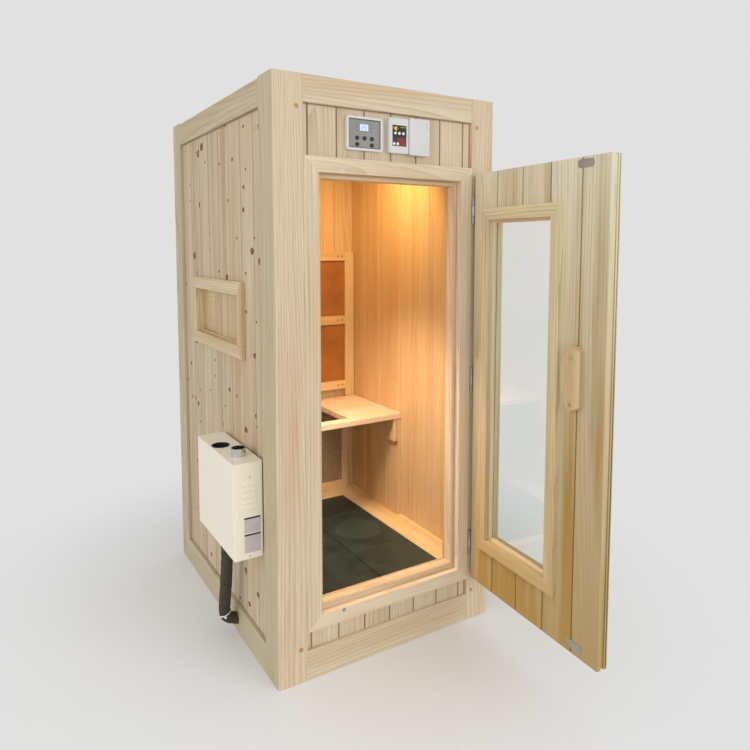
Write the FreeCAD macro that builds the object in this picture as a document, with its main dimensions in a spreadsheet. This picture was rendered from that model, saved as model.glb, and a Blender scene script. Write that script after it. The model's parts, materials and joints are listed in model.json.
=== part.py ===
import FreeCAD, Part
import math
import os
import re
import Sketcher

# Portable steam sauna: a square wooden cabin for one seated person.
# Frame: the origin is at the middle of the cabin's footprint, on the floor. +X is to the right of
# somebody who looks at the door from outside, +Y runs from the door to the rear wall and +Z is up.
# The door stands open and the cover of control B is pushed aside, as the cabin is shown in use.

SIZES = {
    # outside of the cabin
    "cabin_width": 850,
    "cabin_depth": 1100,
    "cabin_height": 1900,
    "wall_thickness": 65,
    "lining_thickness": 12,
    "post_face": 100,
    "post_flank": 106,
    "post_round": 10,
    "edge_ease": 1.5,
    # rails between the posts
    "header_height": 82,
    "side_rail_height": 84,
    "side_rail_drop": 4,
    "base_rail_height": 99,
    # tongue-and-groove boards
    "board_recess": 12,
    "board_thickness": 15,
    "front_board_pitch": 100,
    "front_board_start": 19,
    "side_board_pitch": 115,
    "lining_board_pitch": 125,
    "board_gap": 0.4,
    "board_bevel": 2.5,
    "tongue_length": 6,
    "tongue_clearance": 0.3,
    # battens and studs between boards and linings
    "stud_width": 40,
    "service_depth": 118,
    "cover_batten_place": -56,
    "cover_batten_width": 62,
    "cover_batten_proud": 4.5,
    # floor and ceiling
    "deck_underside": 188,
    "deck_thickness": 24,
    "tile_thickness": 10,
    "border_thickness": 12,
    "tile_width": 250,
    "tile_length": 325,
    "tile_front_length": 233,
    "tile_rear_length": 191,
    "tile_gap": 2,
    "bearer_width": 45,
    "bearer_spacing": 380,
    "joist_spacing": 250,
    "ceiling_drop": 100,
    "roof_thickness": 18,
    "roof_setdown": 16,
    # doorway
    "casing_width": 48,
    "casing_proud": 6,
    "casing_back": 10,
    "casing_bead": 14,
    "casing_step": 3,
    "doorway_bottom": 209,
    "doorway_drop": 287,
    "stop_setback": 22,
    "stop_width": 16,
    "sill_step": 23,
    "head_step": 16,
    "seal_width": 9,
    "seal_thickness": 5,
    "seal_inset": 1,
    # door leaf, in the door's own frame: out from the hinge pin, out of the cabin, up
    "door_angle": 86,
    "door_lap_free": 10,
    "door_lap_low": 37,
    "door_lap_high": 27,
    "door_skin": 14,
    "door_core": 12,
    "door_core_inset": 3,
    "door_board_pitch": 127,
    "door_gap": 2,
    "door_edge_gap": 6,
    "window_hinge_inset": 54,
    "window_free_inset": 176,
    "window_low_inset": 139,
    "window_high_inset": 122,
    "window_member": 41,
    "window_proud": 12,
    "window_rebate": 16,
    "glass_thickness": 5,
    "glass_play": 1.5,
    # hinges
    "pin_radius": 2.5,
    "pin_clearance": 0.05,
    "knuckle_radius": 5,
    "knuckle_length": 30,
    "knuckle_gap": 0.5,
    "leaf_thickness": 2,
    "leaf_reach": 30,
    "leaf_notch": 3.8,
    "hinge_inset": 128,
    # handle, plugs and catches
    "handle_inset": 140,
    "handle_width": 63,
    "handle_bottom": 909,
    "handle_height": 197,
    "handle_bow": 165,
    "handle_board": 18,
    "handle_standoff": 14,
    "handle_strip": 22,
    "handle_taper": 12,
    "handle_end_start": 33,
    "handle_end_slant": 18,
    "plug_radius": 7,
    "plug_depth": 6,
    "plug_proud": 0.6,
    "plug_place": 39,
    "plug_margin": 38,
    "plug_low_margin": 24,
    "catch_inset": 122,
    "catch_length": 61,
    "catch_height": 24,
    "catch_thickness": 1.4,
    "catch_cut": 6,
    "magnet_radius": 6.5,
    "magnet_depth": 9,
    "magnet_offset": 8,
    "post_plug_inset": 78,
    "post_plug_drop": 97,
    "post_plug_rise": 111,
    # bench and heaters
    "bench_top": 674,
    "bench_thickness": 24,
    "bench_front": 485,
    "bench_clearance": 1,
    "bench_hole_width": 240,
    "bench_hole_front": 46,
    "bench_hole_rear": 62,
    "support_thickness": 18,
    "support_depth": 220,
    "support_setback": 3,
    "bracket_height": 99,
    "bracket_depth": 63,
    "bracket_width": 20,
    "ledger_height": 30,
    "heater_depth": 25,
    "backrest_height": 687,
    "backrest_inset": 4,
    "backrest_stile": 47,
    "backrest_rail": 40,
    "backrest_middle_rise": 347,
    "backrest_low_rise": 36,
    "leg_heater_inset": 42,
    "leg_heater_stile": 28,
    "leg_heater_rail": 40,
    "leg_heater_seam_rise": 187,
    "heater_panel": 6,
    "grille_setback": 8,
    "grille_thickness": 4,
    "grille_gap": 2,
    # corner lamp
    "lamp_leg": 82,
    "lamp_drop": 255,
    "lamp_height": 105,
    "lamp_slat": 10,
    "bulb_radius": 17,
    # vent hatch in the left wall, its middle measured from the cabin's middle
    "vent_middle": 9,
    "vent_length": 472,
    "vent_height": 172,
    "vent_centre_height": 1137,
    "vent_member": 45,
    "vent_trim": 16,
    "vent_reveal": 8,
    "vent_depth": 28,
    "vent_back": 8,
    "vent_lip": 6,
    "shutter_length": 312,
    "shutter_thickness": 10,
    "shutter_play": 0.5,
    "vent_hole_length": 130,
    "vent_hole_height": 105,
    "vent_hole_start": 12,
    # boiler
    "boiler_length": 376,
    "boiler_depth": 97,
    "boiler_bottom": 395,
    "boiler_height": 313,
    "boiler_setback": 117,
    "boiler_sheet": 1.5,
    "boiler_lip": 9,
    "bracket_margin": 40,
    "intake_offset": 15,
    "intake_radius": 28,
    "intake_place": 221,
    "collar_radius": 24,
    "collar_wall": 2,
    "collar_height": 26,
    "collar_place": 87,
    "louvre_count": 5,
    "louvre_pitch": 19,
    "louvre_width": 42,
    "louvre_height": 11,
    "louvre_proud": 4,
    "louvre_drop": 60,
    "tank_radius": 36,
    "tank_height": 280,
    "boiler_round": 2.5,
    "boiler_standoff": 2,
    "bracket_height_on_wall": 60,
    "hose_radius": 21,
    "hose_bore_play": 0.3,
    "hose_place": 220,
    "hose_exit_place": 265,
    "hose_exit_height": 48,
    # control A
    "panel_a_middle": -110,
    "panel_a_drop": 76,
    "panel_a_width": 132,
    "panel_a_tall": 105,
    "panel_a_border": 7.5,
    "panel_a_depth": 12,
    "panel_a_recess": 3,
    "panel_a_plate": 6,
    "panel_corner": 9,
    "button_a_radius": 6.5,
    "button_a_pitch": 27,
    "button_a_rise": 20,
    "button_a_low": 34,
    # control B
    "panel_b_left": -23,
    "panel_b_width": 76,
    "panel_b_drop": 72,
    "panel_b_tall": 112,
    "panel_b_depth": 18,
    "panel_b_window_width": 55,
    "panel_b_window_tall": 67,
    "panel_b_plate": 4,
    "panel_b_sink": 1.5,
    "panel_b_window_shift": 2,
    "panel_b_cavity": 3.5,
    "panel_b_corner": 5,
    "button_b_radius": 4.6,
    "button_b_pitch": 15.5,
    "button_b_rise": 8,
    "button_b_fall": 26,
    "cover_width": 80,
    "cover_thickness": 5,
    "cover_lip": 2.5,
    "cover_play": 0.6,
    "cover_base_depth": 8,
    "cover_base_inset": 12,
    # buttons of both panels
    "button_play": 0.4,
    "button_a_proud": 2.2,
    "button_b_proud": 1,
    "button_flange": 1.2,
    "button_flange_thickness": 1,
}

# Derived places, written as formulas of the sizes above.
HALF_WIDTH = "cabin_width / 2"
HALF_DEPTH = "cabin_depth / 2"
FRAME_DEPTH = "(wall_thickness - lining_thickness)"
FRONT = f"-({HALF_DEPTH})"
POST_X = f"({HALF_WIDTH} - post_face)"
POST_Y = f"({HALF_DEPTH} - post_flank)"
FRAME_X = f"({HALF_WIDTH} - {FRAME_DEPTH})"
FRAME_Y = f"({HALF_DEPTH} - {FRAME_DEPTH})"
INNER_X = f"({HALF_WIDTH} - wall_thickness)"
INNER_FRONT = f"({FRONT} + wall_thickness)"
BOARD_X = f"({HALF_WIDTH} - board_recess)"
BOARD_BACK_X = f"({BOARD_X} - board_thickness)"
BOARD_FRONT = f"({FRONT} + board_recess)"
BOARD_FRONT_BACK = f"({BOARD_FRONT} + board_thickness)"
BOARD_REAR = f"({HALF_DEPTH} - board_recess)"
BOARD_REAR_BACK = f"({BOARD_REAR} - board_thickness)"
HEADER_BOTTOM = "(cabin_height - header_height)"
SIDE_RAIL_TOP = "(cabin_height - side_rail_drop)"
SIDE_RAIL_BOTTOM = f"({SIDE_RAIL_TOP} - side_rail_height)"
DECK_TOP = "(deck_underside + deck_thickness)"
FLOOR_TOP = f"({DECK_TOP} + border_thickness)"
REAR_LINING = f"({FRAME_Y} - lining_thickness - service_depth)"
REAR_LINING_BACK = f"({REAR_LINING} + lining_thickness)"
HEATER_FRONT = f"({REAR_LINING} - heater_depth)"
CEILING = "(cabin_height - ceiling_drop)"
CEILING_TOP = f"({CEILING} + lining_thickness)"
ROOF_TOP = "(cabin_height - roof_setdown)"
DOORWAY_X = f"({POST_X} - casing_width)"
CASING_BOTTOM = "(doorway_bottom - casing_width)"
DOORWAY_TOP = "(cabin_height - doorway_drop)"
CASING_TOP = f"({DOORWAY_TOP} + casing_width)"
CASING_FACE = f"({FRONT} - casing_proud)"
CASING_BACK = f"({FRONT} + casing_back)"
STOP_FACE = f"({FRONT} + stop_setback)"
STOP_X = f"({DOORWAY_X} - stop_width)"
STOP_BOTTOM = "(doorway_bottom + sill_step)"
STOP_TOP = f"({DOORWAY_TOP} - head_step)"
LINING_FRONT = f"({FRONT} + {FRAME_DEPTH})"
PIN_X = f"({POST_X} + door_edge_gap)"
PIN_Y = f"({CASING_FACE})"
DOOR_START = "door_edge_gap"
DOOR_END = f"(door_edge_gap + 2 * {DOORWAY_X} + casing_width + door_lap_free)"
DOOR_BOTTOM = "(doorway_bottom - door_lap_low)"
DOOR_TOP = f"({DOORWAY_TOP} + door_lap_high)"
DOOR_THICKNESS = "(2 * door_skin + door_core)"
DOOR_FACE = "door_gap"
DOOR_BACK = f"(door_gap + {DOOR_THICKNESS})"
HINGE_LOW = f"({DOOR_BOTTOM} + hinge_inset)"
HINGE_HIGH = f"({DOOR_TOP} - hinge_inset)"
HINGE_MIDDLES = (HINGE_LOW, f"(({HINGE_LOW} + {HINGE_HIGH}) / 2)", HINGE_HIGH)
BENCH_FRONT = f"({FRONT} + bench_front)"
BENCH_BOTTOM = "(bench_top - bench_thickness)"
BENCH_X = f"({INNER_X} - bench_clearance)"
VENT_FACE = f"(-{BOARD_X})"
VENT_BACK = f"({VENT_FACE} + vent_depth)"
BOILER_X = f"(-({HALF_WIDTH}) + boiler_standoff)"
BOILER_FRONT = f"({FRONT} + boiler_setback)"
BOILER_TOP = "(boiler_bottom + boiler_height)"
BOILER_END = f"({BOILER_FRONT} + boiler_length)"
BOILER_OUT = f"({BOILER_X} - boiler_depth)"

vector = FreeCAD.Vector
doc = FreeCAD.newDocument("PortableSteamSauna")
sheet = doc.addObject("Spreadsheet::Sheet", "Sizes")
for row, (name, size) in enumerate(SIZES.items(), start=1):
    sheet.set(f"A{row}", name)
    sheet.set(f"B{row}", str(size))
    sheet.setAlias(f"B{row}", name)
doc.recompute()


def bound(formula):
    """Write a formula of size names as an expression on the sheet's cells."""
    def cell(match):
        word = match.group(0)
        return f"Sizes.{word}" if word in SIZES else word
    return re.sub(r"[a-z_][a-z0-9_]*", cell, formula)


def number(formula):
    """The present value of a formula, in millimetres or degrees."""
    return float(sheet.evalExpression(bound(formula)))


# ---- builders -------------------------------------------------------------------------------

def place(thing, x="0", y="0", z="0"):
    """Bind a thing's position to three formulas."""
    for axis, formula in (("x", x), ("y", y), ("z", z)):
        thing.setExpression(f"Placement.Base.{axis}", bound(formula))
    return thing


def block(name, x, y, z):
    """A plain block between two formulas on each axis."""
    solid = doc.addObject("Part::Box", name)
    for side, (low, high) in (("Length", x), ("Width", y), ("Height", z)):
        solid.setExpression(side, bound(f"({high}) - ({low})"))
    return place(solid, x[0], y[0], z[0])


def plank(name, x, y, z, ease="edge_ease"):
    """A block of sawn wood with its edges eased."""
    solid = block(name, x, y, z)
    eased = doc.addObject("Part::Chamfer", f"{name}_eased")
    eased.Base = solid
    size = number(ease)
    eased.Edges = [(edge, size, size) for edge in range(1, 13)]
    return eased


def rod(name, radius, length, x, y, z, along="z"):
    """A round rod that starts at a point and runs along an axis of the frame."""
    solid = doc.addObject("Part::Cylinder", name)
    solid.setExpression("Radius", bound(radius))
    solid.setExpression("Height", bound(length))
    turns = {"z": (vector(0, 0, 1), 0), "x": (vector(0, 1, 0), 90), "y": (vector(1, 0, 0), -90)}
    solid.Placement.Rotation = FreeCAD.Rotation(*turns[along])
    return place(solid, x, y, z)


def cut(name, base, tool):
    """What is left of a base without a tool."""
    solid = doc.addObject("Part::Cut", name)
    solid.Base = base
    solid.Tool = tool
    return solid


def common(name, base, tool):
    """What a base and a tool share."""
    solid = doc.addObject("Part::Common", name)
    solid.Base = base
    solid.Tool = tool
    return solid


def fused(name, pieces):
    """Several shapes as one solid."""
    solid = doc.addObject("Part::MultiFuse", name)
    solid.Shapes = pieces
    solid.Refine = True
    return solid


def bunch(name, pieces):
    """Several separate solids under one name."""
    compound = doc.addObject("Part::Compound", name)
    compound.Links = pieces
    return compound


def sketch_on(body, name, plane, corners):
    """A closed outline on one of the body's planes: each corner is a pair of formulas."""
    sketch = body.newObject("Sketcher::SketchObject", name)
    base = [item for item in body.Origin.OriginFeatures if item.Role == plane][0]
    sketch.AttachmentSupport = [(base, "")]
    sketch.MapMode = "FlatFace"
    points = [vector(number(across), number(up), 0) for across, up in corners]
    count = len(points)
    for index, point in enumerate(points):
        sketch.addGeometry(Part.LineSegment(point, points[(index + 1) % count]), False)
    for index in range(count):
        sketch.addConstraint(Sketcher.Constraint("Coincident", index, 2, (index + 1) % count, 1))
    for index, (across, up) in enumerate(corners):
        for kind, formula in (("DistanceX", across), ("DistanceY", up)):
            rule = Sketcher.Constraint(kind, -1, 1, index, 1, number(formula))
            place_in_list = sketch.addConstraint(rule)
            sketch.setExpression(f"Constraints[{place_in_list}]", bound(formula))
    return sketch


def padded(body, name, sketch, length, backwards=False):
    """Extrude a sketch in its body."""
    pad = body.newObject("PartDesign::Pad", name)
    pad.Profile = sketch
    pad.setExpression("Length", bound(length))
    pad.Reversed = backwards
    body.Tip = pad
    return pad


def board_run(name, pitch, thickness, length, count, origin, turn):
    """Tongue-and-groove boards side by side, with their show faces at y = 0 before the turn."""
    body = doc.addObject("PartDesign::Body", name)
    body.AllowCompound = True
    edge = f"({pitch} - board_gap)"
    tongue = f"({edge} + tongue_length)"
    groove = "(tongue_length - board_gap + 2 * tongue_clearance)"
    outline = [
        ("board_bevel", "0"),
        (f"{edge} - board_bevel", "0"),
        (edge, "board_bevel"),
        (edge, f"{thickness} * 0.38"),
        (tongue, f"{thickness} * 0.38"),
        (tongue, f"{thickness} * 0.66"),
        (edge, f"{thickness} * 0.66"),
        (edge, thickness),
        ("0", thickness),
        ("0", f"{thickness} * 0.66 + tongue_clearance"),
        (groove, f"{thickness} * 0.66 + tongue_clearance"),
        (groove, f"{thickness} * 0.38 - tongue_clearance"),
        ("0", f"{thickness} * 0.38 - tongue_clearance"),
        ("0", "board_bevel"),
    ]
    sketch = sketch_on(body, f"{name}_profile", "XY_Plane", outline)
    pad = padded(body, f"{name}_board", sketch, length)
    run = body.newObject("PartDesign::LinearPattern", f"{name}_repeat")
    run.Originals = [pad]
    run.Direction = (sketch, ["H_Axis"])
    run.Mode = "Spacing"
    run.setExpression("Offset", bound(pitch))
    run.Occurrences = count
    body.Tip = run
    body.Placement.Rotation = turn
    return place(body, *origin)


def boards(name, pitch, thickness, x, y, z, origin, turn, holes=()):
    """A field of boards trimmed to a block, with holes cut through them."""
    sides = (x, y, z)
    upright = max(range(3), key=lambda axis: abs(turn.multVec(vector(0, 0, 1))[axis]))
    across = max(range(3), key=lambda axis: abs(turn.multVec(vector(1, 0, 0))[axis]))
    length = f"({sides[upright][1]}) - ({sides[upright][0]})"
    width = number(f"({sides[across][1]}) - ({sides[across][0]})")
    count = math.ceil(width / number(pitch)) + 1
    run = board_run(f"{name}_run", pitch, thickness, length, count, origin, turn)
    field = common(f"{name}_field", run, block(f"{name}_limits", x, y, z))
    for index, hole in enumerate(holes):
        field = cut(f"{name}_cut_{index}", field, hole)
    return field


FACING_FRONT = FreeCAD.Rotation(vector(0, 0, 1), 0)
FACING_LEFT = FreeCAD.Rotation(vector(0, 0, 1), -90)
FACING_RIGHT = FreeCAD.Rotation(vector(0, 0, 1), 90)
FACING_REAR = FreeCAD.Rotation(vector(0, 0, 1), 180)
FACING_DOWN = FreeCAD.Rotation(vector(1, 1, 1), 120)

sub_parts = []


def sub_part(name, pieces):
    """Gather pieces as one sub-part of the cabin, whose label names its file."""
    whole = bunch(name, pieces)
    whole.Label = name
    sub_parts.append(whole)
    return whole


def door_part(name, pieces):
    """Gather pieces drawn in the door's own frame, and swing them open about the hinge pin."""
    whole = sub_part(name, pieces)
    angle = number("180 + door_angle")
    whole.Placement.Rotation = FreeCAD.Rotation(vector(0, 0, 1), angle)
    whole.setExpression("Placement.Rotation.Angle", bound("180 + door_angle"))
    return place(whole, PIN_X, PIN_Y)


def toward(side, formula):
    """A place on the positive or the negative side of the cabin."""
    return formula if side > 0 else f"-({formula})"


def span(side, near, far):
    """A stretch on one side of the cabin, from the lower value to the higher one."""
    return (near, far) if side > 0 else (f"-({far})", f"-({near})")


def both(formula):
    """A stretch that is centred on the cabin."""
    return (f"-({formula})", formula)


def from_here(start, length):
    """A stretch given by its start and its length."""
    return (start, f"{start} + {length}")


def rounded_along(name, solid, axis, radius):
    """Round the edges of a block that run along one axis."""
    doc.recompute()
    fillet = doc.addObject("Part::Fillet", name)
    fillet.Base = solid
    size = number(radius)
    chosen = []
    for index, edge in enumerate(solid.Shape.Edges, start=1):
        first, last = edge.Vertexes[0].Point, edge.Vertexes[-1].Point
        moved = [abs(a - b) > 1e-6 for a, b in zip(first, last)]
        if moved[axis] and sum(moved) == 1:
            chosen.append((index, size, size))
    fillet.Edges = chosen
    return fillet


def mitred_frame(name, outer, inner, y_back, depth):
    """Four members with mitred corners; each lies in front of a plane by its depth."""
    (left, right, low, high) = outer
    (in_left, in_right, in_low, in_high) = inner
    outlines = {
        "left": [(left, low), (in_left, in_low), (in_left, in_high), (left, high)],
        "right": [(right, low), (right, high), (in_right, in_high), (in_right, in_low)],
        "low": [(left, low), (right, low), (in_right, in_low), (in_left, in_low)],
        "high": [(left, high), (in_left, in_high), (in_right, in_high), (right, high)],
    }
    members = []
    for side, outline in outlines.items():
        body = doc.addObject("PartDesign::Body", f"{name}_{side}")
        sketch = sketch_on(body, f"{name}_{side}_outline", "XZ_Plane", outline)
        padded(body, f"{name}_{side}_wood", sketch, depth)
        members.append(place(body, y=y_back))
    return members


def grown(rectangle, amount):
    """A rectangle with each side moved outwards."""
    left, right, low, high = rectangle
    return (f"({left}) - {amount}", f"({right}) + {amount}",
            f"({low}) - {amount}", f"({high}) + {amount}")


# ---- frame of the cabin ---------------------------------------------------------------------

posts = []
plugs = []
post_outline = (
    (HALF_WIDTH, HALF_DEPTH), (POST_X, HALF_DEPTH), (POST_X, FRAME_Y),
    (FRAME_X, FRAME_Y), (FRAME_X, POST_Y), (HALF_WIDTH, POST_Y),
)
PLUG_HEIGHTS = ("cabin_height - post_plug_drop", "post_plug_rise")
for name, east, north in (
        ("front_left", -1, -1), ("front_right", 1, -1), ("rear_left", -1, 1), ("rear_right", 1, 1)):
    body = doc.addObject("PartDesign::Body", f"post_{name}")
    corners = [(toward(east, x), toward(north, y)) for x, y in post_outline]
    outline = sketch_on(body, f"post_{name}_outline", "XY_Plane", corners)
    pad = padded(body, f"post_{name}_wood", outline, "cabin_height")
    doc.recompute()
    corner = (number(corners[0][0]), number(corners[0][1]))
    for index, edge in enumerate(pad.Shape.Edges, start=1):
        if all(math.dist((end.X, end.Y), corner) < 1e-6 for end in edge.Vertexes):
            outer_edge = f"Edge{index}"
    fillet = body.newObject("PartDesign::Fillet", f"post_{name}_round")
    fillet.Base = (pad, [outer_edge])
    fillet.setExpression("Radius", bound("post_round"))
    body.Tip = fillet
    post = body
    if north < 0:
        plug_x = toward(east, f"({HALF_WIDTH} - post_plug_inset)")
        for index, height in enumerate(PLUG_HEIGHTS):
            bore = rod(f"post_{name}_bore_{index}", "plug_radius", "plug_depth",
                       plug_x, FRONT, height, "y")
            post = cut(f"post_{name}_bored_{index}", post, bore)
            plugs.append(rod(f"post_{name}_plug_{index}", "plug_radius",
                             "plug_depth + plug_proud", plug_x, f"{FRONT} - plug_proud",
                             height, "y"))
    posts.append(post)
sub_part("corner_posts", posts)
sub_part("frame_plugs", plugs)

top_rails = [
    plank("top_rail_front", both(POST_X), from_here(FRONT, FRAME_DEPTH),
          (HEADER_BOTTOM, "cabin_height")),
    plank("top_rail_rear", both(POST_X), (FRAME_Y, HALF_DEPTH), (HEADER_BOTTOM, "cabin_height")),
]
base_rails = [
    plank("base_rail_front", both(POST_X), from_here(FRONT, FRAME_DEPTH),
          ("0", "base_rail_height")),
    plank("base_rail_rear", both(POST_X), (FRAME_Y, HALF_DEPTH), ("0", "base_rail_height")),
]
HOSE_X = f"({BOILER_X} - boiler_depth / 2)"
HOSE_Y = f"({BOILER_FRONT} + hose_place)"
HOSE_EXIT_Y = f"({BOILER_FRONT} + hose_exit_place)"
for name, side in (("left", -1), ("right", 1)):
    top_rails.append(plank(f"top_rail_{name}", span(side, FRAME_X, HALF_WIDTH), both(POST_Y),
                           (SIDE_RAIL_BOTTOM, SIDE_RAIL_TOP)))
    rail = plank(f"base_rail_{name}", span(side, FRAME_X, HALF_WIDTH), both(POST_Y),
                 ("0", "base_rail_height"))
    if side < 0:
        bore = rod("hose_bore", "hose_radius + hose_bore_play", f"{FRAME_DEPTH} + 2",
                   f"-({HALF_WIDTH}) - 1", HOSE_EXIT_Y, "hose_exit_height", "x")
        rail = cut("base_rail_left_bored", rail, bore)
    base_rails.append(rail)
sub_part("top_rails", top_rails)
sub_part("bottom_rails", base_rails)

# ---- boards and linings ---------------------------------------------------------------------

VENT_Y = (f"(vent_middle - vent_length / 2)", f"(vent_middle + vent_length / 2)")
VENT_Z = ("(vent_centre_height - vent_height / 2)", "(vent_centre_height + vent_height / 2)")
BOX_Y = (f"({VENT_Y[0]} - vent_reveal)", f"({VENT_Y[1]} + vent_reveal)")
BOX_Z = (f"({VENT_Z[0]} - vent_reveal)", f"({VENT_Z[1]} + vent_reveal)")
TRIM_Y = (f"({VENT_Y[0]} - vent_member)", f"({VENT_Y[1]} + vent_member)")
TRIM_Z = (f"({VENT_Z[0]} - vent_member)", f"({VENT_Z[1]} + vent_member)")
HOLE_Y = from_here(f"({VENT_Y[0]} + vent_hole_start)", "vent_hole_length")
HOLE_Z = ("vent_centre_height - vent_hole_height / 2", "vent_centre_height + vent_hole_height / 2")

front_start = f"(-{POST_X} + front_board_start - front_board_pitch)"
front_layers = (BOARD_FRONT, BOARD_FRONT_BACK)
sub_part("boards_front", [
    boards("boards_over_door", "front_board_pitch", "board_thickness", both(POST_X), front_layers,
           (CASING_TOP, HEADER_BOTTOM), (front_start, BOARD_FRONT, CASING_TOP), FACING_FRONT),
    boards("boards_under_door", "front_board_pitch", "board_thickness", both(POST_X), front_layers,
           ("base_rail_height", CASING_BOTTOM), (front_start, BOARD_FRONT, "base_rail_height"),
           FACING_FRONT),
])

side_height = ("base_rail_height", SIDE_RAIL_BOTTOM)
hatch_hole = block("hatch_hole", (f"-{BOARD_X} - 5", f"-{BOARD_BACK_X} + 5"), BOX_Y, BOX_Z)
sub_part("boards_left", [boards(
    "boards_left", "side_board_pitch", "board_thickness", span(-1, BOARD_BACK_X, BOARD_X),
    both(POST_Y), side_height, (f"-{BOARD_X}", POST_Y, "base_rail_height"), FACING_LEFT,
    [hatch_hole])])
sub_part("boards_right", [boards(
    "boards_right", "side_board_pitch", "board_thickness", (BOARD_BACK_X, BOARD_X),
    both(POST_Y), side_height, (BOARD_X, f"-{POST_Y}", "base_rail_height"), FACING_RIGHT)])
sub_part("boards_rear", [boards(
    "boards_rear", "front_board_pitch", "board_thickness", both(POST_X),
    (BOARD_REAR_BACK, BOARD_REAR), ("base_rail_height", HEADER_BOTTOM),
    (POST_X, BOARD_REAR, "base_rail_height"), FACING_REAR)])

lining_height = (DECK_TOP, CEILING)
vent_hole = block("vent_hole", (f"-{FRAME_X} - 5", f"-{INNER_X} + 5"), HOLE_Y, HOLE_Z)
battens = [
    plank(f"cover_batten_{name}", span(side, f"{INNER_X} - cover_batten_proud", INNER_X),
          ("cover_batten_place", "cover_batten_place + cover_batten_width"),
          ("bench_top", CEILING))
    for name, side in (("left", -1), ("right", 1))
]
sub_part("lining_left", [boards(
    "lining_left", "lining_board_pitch", "lining_thickness", span(-1, INNER_X, FRAME_X),
    both(FRAME_Y), lining_height, (f"-{INNER_X}", f"-{FRAME_Y}", DECK_TOP), FACING_RIGHT,
    [vent_hole]), battens[0]])
sub_part("lining_right", [boards(
    "lining_right", "lining_board_pitch", "lining_thickness", (INNER_X, FRAME_X),
    both(FRAME_Y), lining_height, (INNER_X, FRAME_Y, DECK_TOP), FACING_LEFT), battens[1]])
sub_part("lining_rear", [boards(
    "lining_rear", "lining_board_pitch", "lining_thickness", both(INNER_X),
    (REAR_LINING, REAR_LINING_BACK), lining_height, (f"-{INNER_X}", REAR_LINING, DECK_TOP),
    FACING_FRONT)])
sub_part("ceiling_lining", [boards(
    "ceiling_lining", "lining_board_pitch", "lining_thickness", both(FRAME_X), both(FRAME_Y),
    (CEILING, CEILING_TOP), (f"-{FRAME_X}", f"-{FRAME_Y}", CEILING),
    FACING_DOWN)])
front_lining_y = (LINING_FRONT, INNER_FRONT)
sub_part("lining_front", [
    plank("lining_front_left", span(-1, STOP_X, INNER_X), front_lining_y, lining_height),
    plank("lining_front_right", (STOP_X, INNER_X), front_lining_y, lining_height),
    plank("lining_front_sill", both(STOP_X), front_lining_y, (DECK_TOP, STOP_BOTTOM)),
    plank("lining_front_head", both(STOP_X), front_lining_y, (STOP_TOP, CEILING)),
])

studs = []
side_stud_heights = {
    "base": "deck_underside",
    "bench": BENCH_BOTTOM,
    "under_vent": f"({TRIM_Z[0]} - stud_width)",
    "over_vent": TRIM_Z[1],
    "top": f"({CEILING} - stud_width)",
}
for level, height in side_stud_heights.items():
    for name, side in (("left", -1), ("right", 1)):
        studs.append(plank(f"stud_{name}_{level}", span(side, FRAME_X, BOARD_BACK_X),
                           both(POST_Y), from_here(height, "stud_width")))
    studs.append(plank(f"stud_rear_{level}", both(POST_X), (FRAME_Y, BOARD_REAR_BACK),
                       from_here(height, "stud_width")))
for name, height in (("sill", f"({CASING_BOTTOM} - stud_width)"), ("head", CASING_TOP),
                     ("top", f"({HEADER_BOTTOM} - stud_width)")):
    studs.append(plank(f"stud_front_{name}", both(POST_X), (BOARD_FRONT_BACK, LINING_FRONT),
                       from_here(height, "stud_width")))
for name, side in (("left", -1), ("right", 1)):
    studs.append(plank(f"stud_service_{name}", span(side, f"{INNER_X} - stud_width", INNER_X),
                       from_here(REAR_LINING_BACK, "stud_width"), lining_height))
sub_part("wall_studs", studs)

# ---- floor and roof -------------------------------------------------------------------------

deck = [plank("floor_deck_sheet", both(FRAME_X), both(FRAME_Y), ("deck_underside", DECK_TOP))]
for name, middle in (("front", "-bearer_spacing"), ("middle", "0"), ("rear", "bearer_spacing")):
    deck.append(plank(f"floor_bearer_{name}", both(FRAME_X),
                      (f"{middle} - bearer_width / 2", f"{middle} + bearer_width / 2"),
                      ("0", "deck_underside")))
sub_part("floor_deck", deck)

tiles = []
row_start = f"({INNER_FRONT} + tile_gap)"
for row, length in enumerate(("tile_front_length", "tile_length", "tile_rear_length")):
    for column, side in (("left", -1), ("right", 1)):
        tiles.append(plank(
            f"tile_{column}_{row}",
            span(side, "tile_gap / 2", "tile_width - tile_gap / 2"),
            (f"{row_start} + tile_gap / 2", f"{row_start} + {length} - tile_gap / 2"),
            from_here(DECK_TOP, "tile_thickness")))
    row_start = f"({row_start} + {length})"
sub_part("floor_tiles", tiles)
sub_part("floor_border", [
    plank("floor_border_left", span(-1, "tile_width", INNER_X), (INNER_FRONT, REAR_LINING),
          (DECK_TOP, FLOOR_TOP)),
    plank("floor_border_right", ("tile_width", INNER_X), (INNER_FRONT, REAR_LINING),
          (DECK_TOP, FLOOR_TOP)),
    plank("floor_border_rear", both("tile_width"), (row_start, REAR_LINING),
          (DECK_TOP, FLOOR_TOP)),
])

roof = [plank("roof_sheet", both(FRAME_X), both(FRAME_Y), (f"{ROOF_TOP} - roof_thickness", ROOF_TOP))]
for name, middle in (("front", "-joist_spacing"), ("middle", "0"), ("rear", "joist_spacing")):
    roof.append(plank(f"roof_joist_{name}", both(FRAME_X),
                      (f"{middle} - stud_width / 2", f"{middle} + stud_width / 2"),
                      (CEILING_TOP, f"{ROOF_TOP} - roof_thickness")))
sub_part("roof_panel", roof)

# ---- doorway --------------------------------------------------------------------------------

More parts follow.
